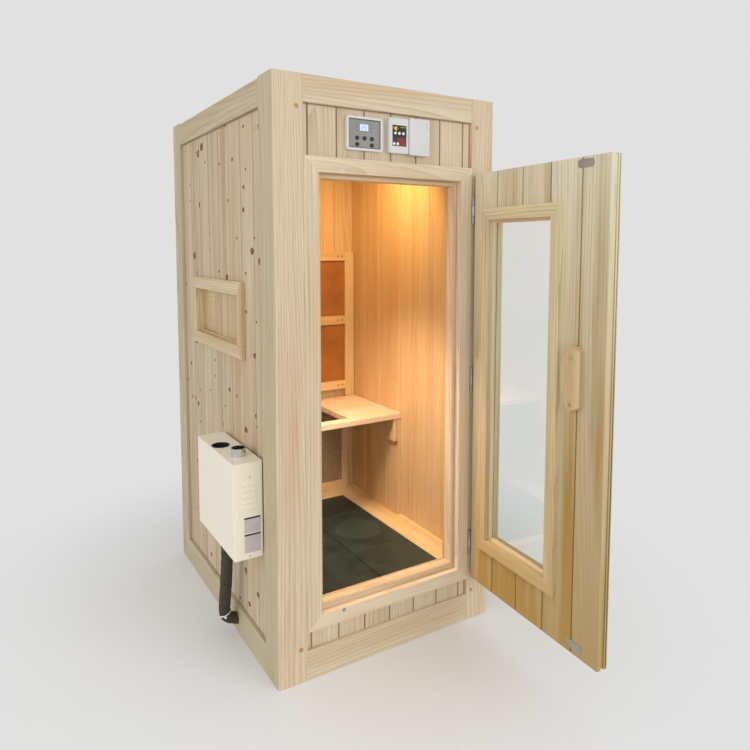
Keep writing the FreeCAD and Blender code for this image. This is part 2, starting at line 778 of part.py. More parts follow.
doorway = (f"-{DOORWAY_X}", DOORWAY_X, "doorway_bottom", DOORWAY_TOP)
casing_outer = grown(doorway, "casing_width")
casing_field = grown(doorway, "(casing_width - casing_bead)")
strips = mitred_frame("casing_strip", casing_outer, doorway, CASING_BACK,
                      "casing_back + casing_proud - casing_step")
fields = mitred_frame("casing_raised", casing_field, doorway, CASING_BACK,
                      "casing_back + casing_proud")
casing = [fused(f"casing_member_{index}", list(pair))
          for index, pair in enumerate(zip(strips, fields))]
magnets = []
CATCH_START = f"({DOOR_END} - catch_inset)"
MAGNET_S = f"({CATCH_START} + catch_length / 2)"
MAGNET_HEIGHTS = ("doorway_bottom - magnet_offset", f"{DOORWAY_TOP} + magnet_offset")
for index, height in enumerate(MAGNET_HEIGHTS):
    spot = (f"{PIN_X} - {MAGNET_S}", CASING_FACE, height)
    bore = rod(f"magnet_bore_{index}", "magnet_radius", "magnet_depth", *spot, "y")
    casing[2 + index] = cut(f"casing_bored_{index}", casing[2 + index], bore)
    magnets.append(rod(f"magnet_{index}", "magnet_radius", "magnet_depth", *spot, "y"))
sub_part("door_casing", casing)

flush_y = (CASING_BACK, STOP_FACE)
stop_y = (STOP_FACE, LINING_FRONT)
jamb = []
for name, side in (("left", -1), ("right", 1)):
    jamb.append(fused(f"jamb_{name}", [
        block(f"jamb_{name}_flush", span(side, DOORWAY_X, POST_X), flush_y,
              (CASING_BOTTOM, CASING_TOP)),
        block(f"jamb_{name}_stop", span(side, STOP_X, POST_X), stop_y,
              (CASING_BOTTOM, CASING_TOP)),
    ]))
for name, flush_z, stop_z in (
        ("sill", (CASING_BOTTOM, "doorway_bottom"), (CASING_BOTTOM, STOP_BOTTOM)),
        ("head", (DOORWAY_TOP, CASING_TOP), (STOP_TOP, CASING_TOP))):
    jamb.append(fused(f"jamb_{name}", [
        block(f"jamb_{name}_flush", both(DOORWAY_X), flush_y, flush_z),
        block(f"jamb_{name}_stop", both(STOP_X), stop_y, stop_z),
    ]))
sub_part("door_jamb", jamb)
stop_opening = (f"-{STOP_X}", STOP_X, STOP_BOTTOM, STOP_TOP)
sub_part("door_seal", mitred_frame("seal", grown(stop_opening, "(seal_width + seal_inset)"),
                                   grown(stop_opening, "seal_inset"), STOP_FACE,
                                   "seal_thickness"))

# ---- door, drawn in its own frame -----------------------------------------------------------

DOOR_Z = (DOOR_BOTTOM, DOOR_TOP)
window_outer = (f"({DOOR_START} + window_hinge_inset)", f"({DOOR_END} - window_free_inset)",
                f"({DOOR_BOTTOM} + window_low_inset)", f"({DOOR_TOP} - window_high_inset)")
window_inner = grown(window_outer, "(-window_member)")
window_hole = grown(window_outer, "(-window_rebate)")
glass_edge = grown(window_hole, "(-glass_play)")
GLASS_FRONT = f"(door_gap + {DOOR_THICKNESS} / 2 - glass_thickness / 2)"
GLASS_BACK = f"({GLASS_FRONT} + glass_thickness)"
CORE_FRONT = "(door_gap + door_skin)"
CORE_BACK = f"({CORE_FRONT} + door_core)"

inner_hole = block("door_hole_inner", window_hole[:2], ("0", CORE_FRONT), window_hole[2:])
outer_hole = block("door_hole_outer", window_hole[:2], (CORE_BACK, f"{DOOR_BACK} + 2"),
                   window_hole[2:])
door_part("door_boards", [
    boards("door_inner", "door_board_pitch", "door_skin", (DOOR_START, DOOR_END),
           (DOOR_FACE, CORE_FRONT), DOOR_Z, (DOOR_START, DOOR_FACE, DOOR_BOTTOM),
           FACING_FRONT, [inner_hole]),
    boards("door_outer", "door_board_pitch", "door_skin", (DOOR_START, DOOR_END),
           (CORE_BACK, DOOR_BACK), DOOR_Z, (DOOR_END, DOOR_BACK, DOOR_BOTTOM),
           FACING_REAR, [outer_hole]),
])
core_y = (CORE_FRONT, CORE_BACK)
core_z = (f"{DOOR_BOTTOM} + door_core_inset", f"{DOOR_TOP} - door_core_inset")
door_part("door_core", [
    plank("core_hinge_stile", (f"{DOOR_START} + door_core_inset", window_hole[0]), core_y, core_z),
    plank("core_free_stile", (window_hole[1], f"{DOOR_END} - door_core_inset"), core_y, core_z),
    plank("core_low_rail", window_hole[:2], core_y, (core_z[0], window_hole[2])),
    plank("core_high_rail", window_hole[:2], core_y, (window_hole[3], core_z[1])),
])
inner_slabs = mitred_frame("window_inner_slab", window_outer, window_inner, DOOR_FACE,
                           "window_proud")
inner_beads = mitred_frame("window_inner_bead", window_hole, window_inner, GLASS_FRONT,
                           f"{GLASS_FRONT} - {DOOR_FACE}")
outer_beads = mitred_frame("window_outer_bead", window_hole, window_inner, DOOR_BACK,
                           f"{DOOR_BACK} - {GLASS_BACK}")
outer_slabs = mitred_frame("window_outer_slab", window_outer, window_inner,
                           f"{DOOR_BACK} + window_proud", "window_proud")
members = []
for name, slabs, beads in (("inner", inner_slabs, inner_beads), ("outer", outer_slabs, outer_beads)):
    for index, pair in enumerate(zip(slabs, beads)):
        members.append(fused(f"window_{name}_member_{index}", list(pair)))
door_part("door_window_frame", members)
door_part("door_glass", [block("glass_pane", glass_edge[:2], (GLASS_FRONT, GLASS_BACK),
                               glass_edge[2:])])

HANDLE_START = f"({DOOR_END} - handle_inset)"
HANDLE_X = (HANDLE_START, f"{HANDLE_START} + handle_width")
HANDLE_Z = ("handle_bottom", "(handle_bottom + handle_height)")
HANDLE_DEPTH = "(handle_board + handle_standoff)"
# Both ends slant towards the straight edge, from where the bow meets them.
SLANT_START = f"({HANDLE_START} + handle_end_start)"
SLANT_END = f"({HANDLE_X[1]} + 1)"
HANDLE_ENDS = [
    (f"{HANDLE_START} - 1", HANDLE_Z[0]), (SLANT_START, HANDLE_Z[0]),
    (SLANT_END, f"{HANDLE_Z[0]} + handle_end_slant"),
    (SLANT_END, f"{HANDLE_Z[1]} - handle_end_slant"),
    (SLANT_START, HANDLE_Z[1]), (f"{HANDLE_START} - 1", HANDLE_Z[1]),
]
handles = []
door_plugs = []
for name, outwards, base in (("inner", -1, DOOR_FACE), ("outer", 1, DOOR_BACK)):
    def layer(near, far, base=base, outwards=outwards):
        if outwards > 0:
            return (f"{base} + {near}", f"{base} + {far}")
        return (f"{base} - {far}", f"{base} - {near}")
    board = block(f"handle_{name}_board", HANDLE_X, layer("handle_standoff", HANDLE_DEPTH),
                  HANDLE_Z)
    doc.recompute()
    box = board.Shape.BoundBox
    face = box.YMax if outwards > 0 else box.YMin
    tapered = doc.addObject("Part::Chamfer", f"handle_{name}_tapered")
    tapered.Base = board
    taper = number("handle_taper")
    for index, edge in enumerate(board.Shape.Edges, start=1):
        if all(math.dist((end.X, end.Y), (box.XMax, face)) < 1e-6 for end in edge.Vertexes):
            tapered.Edges = [(index, taper, taper)]
    strip = block(f"handle_{name}_strip", (f"{HANDLE_X[1]} - handle_strip", HANDLE_X[1]),
                  layer("0", "handle_standoff"), HANDLE_Z)
    body = fused(f"handle_{name}_body", [tapered, strip])
    bow = rod(f"handle_{name}_bow", "handle_bow", f"{HANDLE_DEPTH} + 2",
              f"{HANDLE_START} + handle_bow", layer("(0 - 1)", f"({HANDLE_DEPTH} + 1)")[0],
              "handle_bottom + handle_height / 2", "y")
    ends = doc.addObject("PartDesign::Body", f"handle_{name}_ends")
    sketch = sketch_on(ends, f"handle_{name}_ends_outline", "XZ_Plane", HANDLE_ENDS)
    padded(ends, f"handle_{name}_ends_wood", sketch, f"{HANDLE_DEPTH} + 2")
    place(ends, y=layer("(0 - 1)", f"({HANDLE_DEPTH} + 1)")[1])
    handle = common(f"handle_{name}_bowed", body, bow)
    handle = common(f"handle_{name}_shaped", handle, ends)
    for index, height in enumerate(("handle_bottom + plug_low_margin",
                                    f"{HANDLE_Z[1]} - plug_margin")):
        depth = layer(f"({HANDLE_DEPTH} - plug_depth)", HANDLE_DEPTH)
        proud = layer(f"({HANDLE_DEPTH} - plug_depth)", f"({HANDLE_DEPTH} + plug_proud)")
        bore = rod(f"handle_{name}_bore_{index}", "plug_radius", "plug_depth",
                   f"{HANDLE_START} + plug_place", depth[0], height, "y")
        handle = cut(f"handle_{name}_bored_{index}", handle, bore)
        door_plugs.append(rod(f"handle_{name}_plug_{index}", "plug_radius",
                              "plug_depth + plug_proud", f"{HANDLE_START} + plug_place",
                              proud[0], height, "y"))
    handles.append(handle)
door_part("door_handles", handles)
door_part("door_plugs", door_plugs)

door_metal = []
fixed_metal = list(magnets)
KNUCKLE_STEP = "(knuckle_length + knuckle_gap)"
for hinge, middle in enumerate(HINGE_MIDDLES):
    low = f"({middle} - knuckle_length / 2 - {KNUCKLE_STEP})"
    mid = f"({middle} - knuckle_length / 2)"
    high = f"({middle} + knuckle_length / 2 + knuckle_gap)"
    total = f"(3 * knuckle_length + 2 * knuckle_gap)"
    leaf_z = from_here(low, total)
    plate_x = (f"{DOOR_START} - leaf_thickness", DOOR_START)
    barrel = rod(f"hinge_{hinge}_door_barrel", "knuckle_radius", "knuckle_length", "0", "0", mid)
    wing = block(f"hinge_{hinge}_door_wing", plate_x, ("leaf_notch", "leaf_reach"), leaf_z)
    web = block(f"hinge_{hinge}_door_web", plate_x, ("0", "leaf_notch"),
                from_here(mid, "knuckle_length"))
    bore = rod(f"hinge_{hinge}_bore", "pin_radius + pin_clearance", "knuckle_length + 2",
               "0", "0", f"{mid} - 1")
    door_metal.append(cut(f"hinge_{hinge}_door_leaf",
                          fused(f"hinge_{hinge}_door_solid", [barrel, wing, web]), bore))
    fixed_plate_y = (f"{FRONT} - leaf_thickness", FRONT)
    pieces = [block(f"hinge_{hinge}_fixed_wing",
                    (f"{PIN_X} + leaf_notch", f"{PIN_X} + leaf_reach"), fixed_plate_y, leaf_z),
              rod(f"hinge_{hinge}_pin", "pin_radius", total, PIN_X, PIN_Y, low)]
    for end, start in (("low", low), ("high", high)):
        pieces.append(rod(f"hinge_{hinge}_{end}_barrel", "knuckle_radius", "knuckle_length",
                          PIN_X, PIN_Y, start))
        pieces.append(block(f"hinge_{hinge}_{end}_web", (PIN_X, f"{PIN_X} + leaf_notch"),
                            fixed_plate_y, from_here(start, "knuckle_length")))
    fixed_metal.append(fused(f"hinge_{hinge}_fixed_leaf", pieces))
for index, height in enumerate(MAGNET_HEIGHTS):
    start, end = CATCH_START, f"({CATCH_START} + catch_length)"
    low, high = f"({height} - catch_height / 2)", f"({height} + catch_height / 2)"
    outline = [
        (f"{start} + catch_cut", low), (f"{end} - catch_cut", low),
        (end, f"{low} + catch_cut"), (end, f"{high} - catch_cut"),
        (f"{end} - catch_cut", high), (f"{start} + catch_cut", high),
        (start, f"{high} - catch_cut"), (start, f"{low} + catch_cut"),
    ]
    body = doc.addObject("PartDesign::Body", f"catch_plate_{index}")
    sketch = sketch_on(body, f"catch_plate_{index}_outline", "XZ_Plane", outline)
    padded(body, f"catch_plate_{index}_metal", sketch, "catch_thickness")
    door_metal.append(place(body, y=DOOR_FACE))
door_part("door_hardware", door_metal)
sub_part("door_hardware_fixed", fixed_metal)

# ---- bench, backrest and heaters ------------------------------------------------------------

BENCH_Z = (BENCH_BOTTOM, "bench_top")
HOLE_FRONT = f"({BENCH_FRONT} + bench_hole_front)"
HOLE_REAR = f"({HEATER_FRONT} - bench_hole_rear)"
sub_part("bench_top", [
    plank("bench_front_board", both(BENCH_X), (BENCH_FRONT, HOLE_FRONT), BENCH_Z),
    plank("bench_rear_board", both(BENCH_X), (HOLE_REAR, HEATER_FRONT), BENCH_Z),
    plank("bench_left_board", span(-1, "bench_hole_width / 2", BENCH_X), (HOLE_FRONT, HOLE_REAR),
          BENCH_Z),
    plank("bench_right_board", ("bench_hole_width / 2", BENCH_X), (HOLE_FRONT, HOLE_REAR),
          BENCH_Z),
])
supports = [plank("bench_ledger", both(INNER_X), (f"{HEATER_FRONT} - bracket_width", HEATER_FRONT),
                  (f"{BENCH_BOTTOM} - ledger_height", BENCH_BOTTOM))]
support_y = from_here(f"({BENCH_FRONT} + support_setback)", "support_depth")
bracket_y = from_here(f"({BENCH_FRONT} + support_setback)", "bracket_depth")
for name, side in (("left", -1), ("right", 1)):
    supports.append(plank(f"bench_side_{name}", span(side, f"{INNER_X} - support_thickness", INNER_X),
                          support_y, (FLOOR_TOP, BENCH_BOTTOM)))
    supports.append(plank(
        f"bench_bracket_{name}",
        span(side, f"{INNER_X} - support_thickness - bracket_width", f"{INNER_X} - support_thickness"),
        bracket_y, (f"{BENCH_BOTTOM} - bracket_height", BENCH_BOTTOM)))
sub_part("bench_supports", supports)

heater_y = (HEATER_FRONT, REAR_LINING)
STILE_X = f"({INNER_X} - backrest_inset)"
PANEL_X = f"({STILE_X} - backrest_stile)"
BACKREST_TOP = "(bench_top + backrest_height)"
rail_low = from_here("(bench_top + backrest_low_rise)", "backrest_rail")
rail_middle = from_here("(bench_top + backrest_middle_rise)", "backrest_rail")
rail_high = (f"({BACKREST_TOP} - backrest_rail)", BACKREST_TOP)
backrest = [plank(f"backrest_stile_{name}", span(side, PANEL_X, STILE_X), heater_y,
                  ("bench_top", BACKREST_TOP)) for name, side in (("left", -1), ("right", 1))]
for name, rail in (("low", rail_low), ("middle", rail_middle), ("high", rail_high)):
    backrest.append(plank(f"backrest_rail_{name}", both(PANEL_X), heater_y, rail))
sub_part("backrest_frame", backrest)
panel_y = (f"({HEATER_FRONT} + {REAR_LINING} - heater_panel) / 2",
           f"({HEATER_FRONT} + {REAR_LINING} + heater_panel) / 2")
sub_part("backrest_heaters", [
    block("heater_low", both(PANEL_X), panel_y, (rail_low[1], rail_middle[0])),
    block("heater_high", both(PANEL_X), panel_y, (rail_middle[1], rail_high[0])),
])

LEG_STILE_X = f"({INNER_X} - leg_heater_inset)"
GRILLE_X = f"({LEG_STILE_X} - leg_heater_stile)"
leg_rail_low = from_here(FLOOR_TOP, "leg_heater_rail")
leg_rail_high = (f"({BENCH_BOTTOM} - leg_heater_rail)", BENCH_BOTTOM)
leg_frame = [plank(f"leg_stile_{name}", span(side, GRILLE_X, LEG_STILE_X), heater_y,
                   (FLOOR_TOP, BENCH_BOTTOM)) for name, side in (("left", -1), ("right", 1))]
for name, rail in (("low", leg_rail_low), ("high", leg_rail_high)):
    leg_frame.append(plank(f"leg_rail_{name}", both(GRILLE_X), heater_y, rail))
sub_part("leg_heater_frame", leg_frame)
GRILLE_SEAM = f"({FLOOR_TOP} + leg_heater_seam_rise)"
grille_y = from_here(f"({HEATER_FRONT} + grille_setback)", "grille_thickness")
sub_part("leg_heater_grille", [
    block("grille_low", both(GRILLE_X), grille_y, (leg_rail_low[1], GRILLE_SEAM)),
    block("grille_high", both(GRILLE_X), grille_y, (f"{GRILLE_SEAM} + grille_gap", leg_rail_high[0])),
])

# ---- corner lamp ----------------------------------------------------------------------------

LAMP_BOTTOM = f"({CEILING} - lamp_drop)"
LAMP_TOP = f"({LAMP_BOTTOM} + lamp_height)"
corner_x, corner_y = INNER_X, INNER_FRONT
shade = []
for name, height in (("low", LAMP_BOTTOM), ("high", f"({LAMP_TOP} - lamp_slat)")):
    body = doc.addObject("PartDesign::Body", f"lamp_plate_{name}")
    outline = [(corner_x, corner_y), (corner_x, f"{corner_y} + lamp_leg"),
               (f"{corner_x} - lamp_leg", corner_y)]
    if name == "low":
        outline = [(corner_x, f"{corner_y} + lamp_leg - 2.5 * lamp_slat"),
                   (corner_x, f"{corner_y} + lamp_leg"),
                   (f"{corner_x} - lamp_leg", corner_y),
                   (f"{corner_x} - lamp_leg + 2.5 * lamp_slat", corner_y)]
    sketch = sketch_on(body, f"lamp_plate_{name}_outline", "XY_Plane", outline)
    padded(body, f"lamp_plate_{name}_wood", sketch, "lamp_slat")
    shade.append(place(body, z=height))
for index in range(5):
    share = f"({index} + 0.5) / 5"
    slat = doc.addObject("Part::Box", f"lamp_slat_{index}")
    slat.setExpression("Length", bound("lamp_slat"))
    slat.setExpression("Width", bound("lamp_slat / 2"))
    slat.setExpression("Height", bound("lamp_height - 2 * lamp_slat"))
    slat.Placement.Rotation = FreeCAD.Rotation(vector(0, 0, 1), 45)
    place(slat, f"{corner_x} - lamp_leg * (1 - {share})",
          f"{corner_y} + lamp_leg * {share} - lamp_slat / sqrt(2)", f"{LAMP_BOTTOM} + lamp_slat")
    shade.append(slat)
sub_part("lamp_shade", shade)
bulb_x, bulb_y = f"{corner_x} - lamp_leg * 0.27", f"{corner_y} + lamp_leg * 0.27"
bulb_top = f"({LAMP_TOP} - lamp_slat)"
socket = rod("lamp_socket", "bulb_radius * 0.6", "bulb_radius * 1.4", bulb_x, bulb_y,
             f"{bulb_top} - bulb_radius * 1.4")
globe = doc.addObject("Part::Sphere", "lamp_globe")
globe.setExpression("Radius", bound("bulb_radius"))
place(globe, bulb_x, bulb_y, f"{bulb_top} - bulb_radius * 2")
sub_part("lamp_bulb", [fused("lamp_bulb_whole", [socket, globe])])

# ---- vent hatch -----------------------------------------------------------------------------

trim_x = (f"{VENT_FACE} - vent_trim", VENT_FACE)
reveal_x = (VENT_FACE, VENT_BACK)
SHUTTER_X = (f"({VENT_BACK} - vent_lip - shutter_play - shutter_thickness)",
             f"({VENT_BACK} - vent_lip - shutter_play)")
front_strip_x = (f"{SHUTTER_X[0]} - shutter_play - vent_lip", f"{SHUTTER_X[0]} - shutter_play")
rear_strip_x = (f"{VENT_BACK} - vent_lip", VENT_BACK)
back_panel = block("vent_back_panel", from_here(VENT_BACK, "vent_back"), BOX_Y, BOX_Z)
back_hole = block("vent_back_hole", (f"{VENT_BACK} - 2", f"{VENT_BACK} + vent_back + 2"),
                  HOLE_Y, HOLE_Z)
vent = [
    plank("vent_trim_low", trim_x, TRIM_Y, (TRIM_Z[0], VENT_Z[0])),
    plank("vent_trim_high", trim_x, TRIM_Y, (VENT_Z[1], TRIM_Z[1])),
    plank("vent_trim_front", trim_x, (TRIM_Y[0], VENT_Y[0]), VENT_Z),
    plank("vent_trim_rear", trim_x, (VENT_Y[1], TRIM_Y[1]), VENT_Z),
    block("vent_reveal_low", reveal_x, BOX_Y, (BOX_Z[0], VENT_Z[0])),
    block("vent_reveal_high", reveal_x, BOX_Y, (VENT_Z[1], BOX_Z[1])),
    block("vent_reveal_front", reveal_x, (BOX_Y[0], VENT_Y[0]), VENT_Z),
    block("vent_reveal_rear", reveal_x, (VENT_Y[1], BOX_Y[1]), VENT_Z),
    cut("vent_back_cut", back_panel, back_hole),
]
for name, edge in (("low", (VENT_Z[0], f"{VENT_Z[0]} + vent_lip")),
                   ("high", (f"{VENT_Z[1]} - vent_lip", VENT_Z[1]))):
    vent.append(block(f"vent_strip_front_{name}", front_strip_x, VENT_Y, edge))
    vent.append(block(f"vent_strip_rear_{name}", rear_strip_x, VENT_Y, edge))
sub_part("vent_frame", vent)
sub_part("vent_shutter", [plank(
    "vent_shutter_board", SHUTTER_X, from_here(f"({VENT_Y[0]} + shutter_play)", "shutter_length"),
    (f"{VENT_Z[0]} + shutter_play", f"{VENT_Z[1]} - shutter_play"))])

# ---- boiler and hose ------------------------------------------------------------------------

BOILER_Y = (BOILER_FRONT, BOILER_END)
BOILER_Z = ("boiler_bottom", BOILER_TOP)
case = rounded_along("boiler_shell", block("boiler_block", (BOILER_OUT, BOILER_X), BOILER_Y,
                                           BOILER_Z), 2, "boiler_round")
hollow = block("boiler_hollow", (f"{BOILER_OUT} + boiler_sheet", f"{BOILER_X} - boiler_sheet"),
               (f"{BOILER_FRONT} + boiler_sheet", f"{BOILER_END} - boiler_sheet"),
               ("boiler_bottom + boiler_sheet", f"{BOILER_TOP} - boiler_sheet"))
mouth_x = (f"{BOILER_OUT} + boiler_lip", f"{BOILER_X} - boiler_lip")
mouth_z = ("boiler_bottom + boiler_lip", f"{BOILER_TOP} - boiler_lip")
mouth = block("boiler_mouth", mouth_x, (f"{BOILER_FRONT} - 2", f"{BOILER_FRONT} + boiler_sheet + 1"),
              mouth_z)
INTAKE_X = f"({HOSE_X} - intake_offset)"
COLLAR_Y = f"({BOILER_FRONT} + collar_place)"
intake = rod("boiler_intake", "intake_radius", "boiler_sheet + 4", INTAKE_X,
             f"{BOILER_FRONT} + intake_place", f"{BOILER_TOP} - boiler_sheet - 2")
collar_hole = rod("boiler_collar_hole", "collar_radius - collar_wall", "boiler_sheet + 4",
                  HOSE_X, COLLAR_Y, f"{BOILER_TOP} - boiler_sheet - 2")
opened = case
for name, tool in (("hollow", hollow), ("mouth", mouth), ("intake", intake), ("collar", collar_hole)):
    opened = cut(f"boiler_case_{name}", opened, tool)
bracket = plank("boiler_bracket", (BOILER_X, f"-{BOARD_X}"),
                (f"{BOILER_FRONT} + bracket_margin", f"{BOILER_END} - bracket_margin"),
                (f"{BOILER_TOP} - bracket_margin - bracket_height_on_wall",
                 f"{BOILER_TOP} - bracket_margin"))
sub_part("boiler_case", [opened, bracket])
sub_part("boiler_collar", [cut(
    "collar_tube", rod("collar_outside", "collar_radius", "collar_height", HOSE_X, COLLAR_Y,
                       BOILER_TOP),
    rod("collar_inside", "collar_radius - collar_wall", "collar_height + 4", HOSE_X, COLLAR_Y,
        f"{BOILER_TOP} - 2"))])
sub_part("boiler_tank", [rod("tank", "tank_radius", "tank_height", HOSE_X, COLLAR_Y,
                             "boiler_bottom + boiler_sheet")])

cover_y = (f"{BOILER_FRONT} - boiler_sheet", BOILER_FRONT)
cover = block("cover_sheet", (f"{BOILER_OUT} + boiler_round", f"{BOILER_X} - boiler_round"),
              cover_y, BOILER_Z)
louvre_outline = [("0", "0"), ("-louvre_proud", "-louvre_height"), ("0", "-louvre_height")]
hollow_outline = [("boiler_sheet + 1", "-boiler_sheet"), ("0", "-boiler_sheet"),
                  ("boiler_sheet - louvre_proud", "-louvre_height"),
                  ("boiler_sheet + 1", "-louvre_height")]
louvre_sets = []
for name, outline, inset in (("hood", louvre_outline, "0"), ("slot", hollow_outline, "boiler_sheet")):
    body = doc.addObject("PartDesign::Body", f"louvre_{name}")
    body.AllowCompound = True
    sketch = sketch_on(body, f"louvre_{name}_outline", "YZ_Plane", outline)
    pad = padded(body, f"louvre_{name}_pad", sketch, f"louvre_width - 2 * {inset}")
    rows = body.newObject("PartDesign::LinearPattern", f"louvre_{name}_rows")
    rows.Originals = [pad]
    rows.Direction = (sketch, ["V_Axis"])
    rows.Reversed = True
    rows.Mode = "Spacing"
    rows.setExpression("Offset", bound("louvre_pitch"))
    rows.Occurrences = int(SIZES["louvre_count"])
    body.Tip = rows
    louvre_sets.append(place(body, f"{HOSE_X} - louvre_width / 2 + {inset}", cover_y[0],
                             f"{BOILER_TOP} - louvre_drop"))
hooded = fused("cover_hooded", [cover, louvre_sets[0]])
sub_part("boiler_cover", [cut("cover_slotted", hooded, louvre_sets[1])])


def bent_tube(stops, radius):
    """A tube through points, straight between them and bent in tangent arcs at each."""
    wire_edges = []
    at = stops[0]
    bends = []
    for before, corner, after in zip(stops, stops[1:], stops[2:]):
        inwards, outwards = corner - before, after - corner
        turn = inwards.getAngle(outwards)
        bend = 0.45 * min(inwards.Length, outwards.Length) / math.tan(turn / 2)
        setback = bend * math.tan(turn / 2)
        first = corner - inwards.normalize() * setback
        last = corner + outwards.normalize() * setback
        inner = (first + last - corner * 2).normalize()
        middle = corner + inner * (bend / math.cos(turn / 2) - bend)
        wire_edges.append(Part.LineSegment(at, first).toShape())
        wire_edges.append(Part.Arc(first, middle, last).toShape())
        bends.append(round(bend, 1))
        at = last
    wire_edges.append(Part.LineSegment(at, stops[-1]).toShape())
    path = Part.Wire(wire_edges)
    ring = Part.Wire([Part.Circle(stops[0], stops[1] - stops[0], radius).toShape()])
    tube = path.makePipeShell([ring], True, False)
    expected = math.pi * radius ** 2 * path.Length
    print("hose bends", bends, "volume share", round(tube.Volume / expected, 4))
    return tube


hose_route = [
    (HOSE_X, HOSE_Y, "boiler_bottom"),
    (HOSE_X, HOSE_Y, "boiler_bottom * 0.74"),
    (HOSE_X, f"({HOSE_Y} + {HOSE_EXIT_Y}) / 2", "boiler_bottom * 0.46"),
    (HOSE_X, HOSE_EXIT_Y, "hose_exit_height"),
    (f"-{FRAME_X}", HOSE_EXIT_Y, "hose_exit_height"),
]
hose = doc.addObject("Part::Feature", "hose_tube")
hose.Shape = bent_tube([vector(*(number(part) for part in stop)) for stop in hose_route],
                       number("hose_radius"))
sub_part("boiler_hose", [hose])

# ---- control A ------------------------------------------------------------------------------

PANEL_A = f"({HEADER_BOTTOM} - panel_a_drop)"
PANEL_B = f"({HEADER_BOTTOM} - panel_b_drop)"
A_FRONT = f"({BOARD_FRONT} - panel_a_depth)"
A_X = ("(panel_a_middle - panel_a_width / 2)", "(panel_a_middle + panel_a_width / 2)")
A_Z = (f"({PANEL_A} - panel_a_tall / 2)", f"({PANEL_A} + panel_a_tall / 2)")
A_IN_X = (f"({A_X[0]} + panel_a_border)", f"({A_X[1]} - panel_a_border)")
A_IN_Z = (f"({A_Z[0]} + panel_a_border)", f"({A_Z[1]} - panel_a_border)")
frame_block = rounded_along("panel_a_rounded", block("panel_a_block", A_X, (A_FRONT, BOARD_FRONT),
                                                     A_Z), 1, "panel_corner")
frame_hole = block("panel_a_hole", A_IN_X, (f"{A_FRONT} - 2", f"{BOARD_FRONT} + 2"), A_IN_Z)
sub_part("control_a_frame", [cut("panel_a_ring", frame_block, frame_hole)])
A_PLATE_FRONT = f"({A_FRONT} + panel_a_recess)"
A_PLATE_BACK = f"({A_PLATE_FRONT} + panel_a_plate)"
A_UPPER = f"({PANEL_A} - button_a_low + button_a_rise)"
A_LOWER = f"({PANEL_A} - button_a_low)"
B_UPPER = f"({PANEL_B} + button_b_rise)"
B_LOWER = f"({PANEL_B} - button_b_fall)"
buttons_a = [
    ("panel_a_middle - button_a_pitch", A_UPPER),
    ("panel_a_middle", A_UPPER),
    ("panel_a_middle + button_a_pitch", A_UPPER),
    ("panel_a_middle - button_a_pitch", A_LOWER),
    ("panel_a_middle + button_a_pitch", A_LOWER),
]
B_FRONT = f"({BOARD_FRONT} - panel_b_depth)"
B_X = from_here("panel_b_left", "panel_b_width")
B_Z = (f"({PANEL_B} - panel_b_tall / 2)", f"({PANEL_B} + panel_b_tall / 2)")
B_MIDDLE = "(panel_b_left + panel_b_width / 2 + panel_b_window_shift)"
B_WINDOW_X = (f"({B_MIDDLE} - panel_b_window_width / 2)", f"({B_MIDDLE} + panel_b_window_width / 2)")
B_WINDOW_Z = (f"({PANEL_B} - panel_b_window_tall / 2)", f"({PANEL_B} + panel_b_window_tall / 2)")
B_PLATE_FRONT = f"({B_FRONT} + panel_b_sink)"
B_PLATE_BACK = f"({B_PLATE_FRONT} + panel_b_plate)"
buttons_b = [
    (f"{B_MIDDLE} - button_b_pitch", B_UPPER),
    (B_MIDDLE, B_UPPER),
    (f"{B_MIDDLE} + button_b_pitch", B_UPPER),
    (f"{B_MIDDLE} - button_b_pitch * 1.3", B_LOWER),
    (f"{B_MIDDLE} - button_b_pitch * 0.4", B_LOWER),
]
for panel, plate, places, front, back, radius, proud in (
        ("a", block("panel_a_plate_block", A_IN_X, (A_PLATE_FRONT, A_PLATE_BACK), A_IN_Z),
         buttons_a, A_PLATE_FRONT, A_PLATE_BACK, "button_a_radius", "button_a_proud"),
        ("b", block("panel_b_plate_block", B_WINDOW_X, (B_PLATE_FRONT, B_PLATE_BACK), B_WINDOW_Z),
         buttons_b, B_PLATE_FRONT, B_PLATE_BACK, "button_b_radius", "button_b_proud")):
    for index, (x, z) in enumerate(places, start=1):
        bore = rod(f"panel_{panel}_bore_{index}", f"{radius} + button_play",
                   f"{back} - {front} + 2", x, f"{front} - 1", z, "y")
        plate = cut(f"panel_{panel}_drilled_{index}", plate, bore)
        stem = rod(f"button_{panel}_stem_{index}", radius,
                   f"{back} - {front} + {proud} + button_flange_thickness", x,
                   f"{front} - {proud}", z, "y")
        flange = rod(f"button_{panel}_flange_{index}", f"{radius} + button_flange",
                     "button_flange_thickness", x, back, z, "y")
        sub_part(f"button_{panel}_{index}", [fused(f"button_{panel}_whole_{index}", [stem, flange])])
    sub_part("control_a_face" if panel == "a" else "control_b_window", [plate])

# ---- control B ------------------------------------------------------------------------------

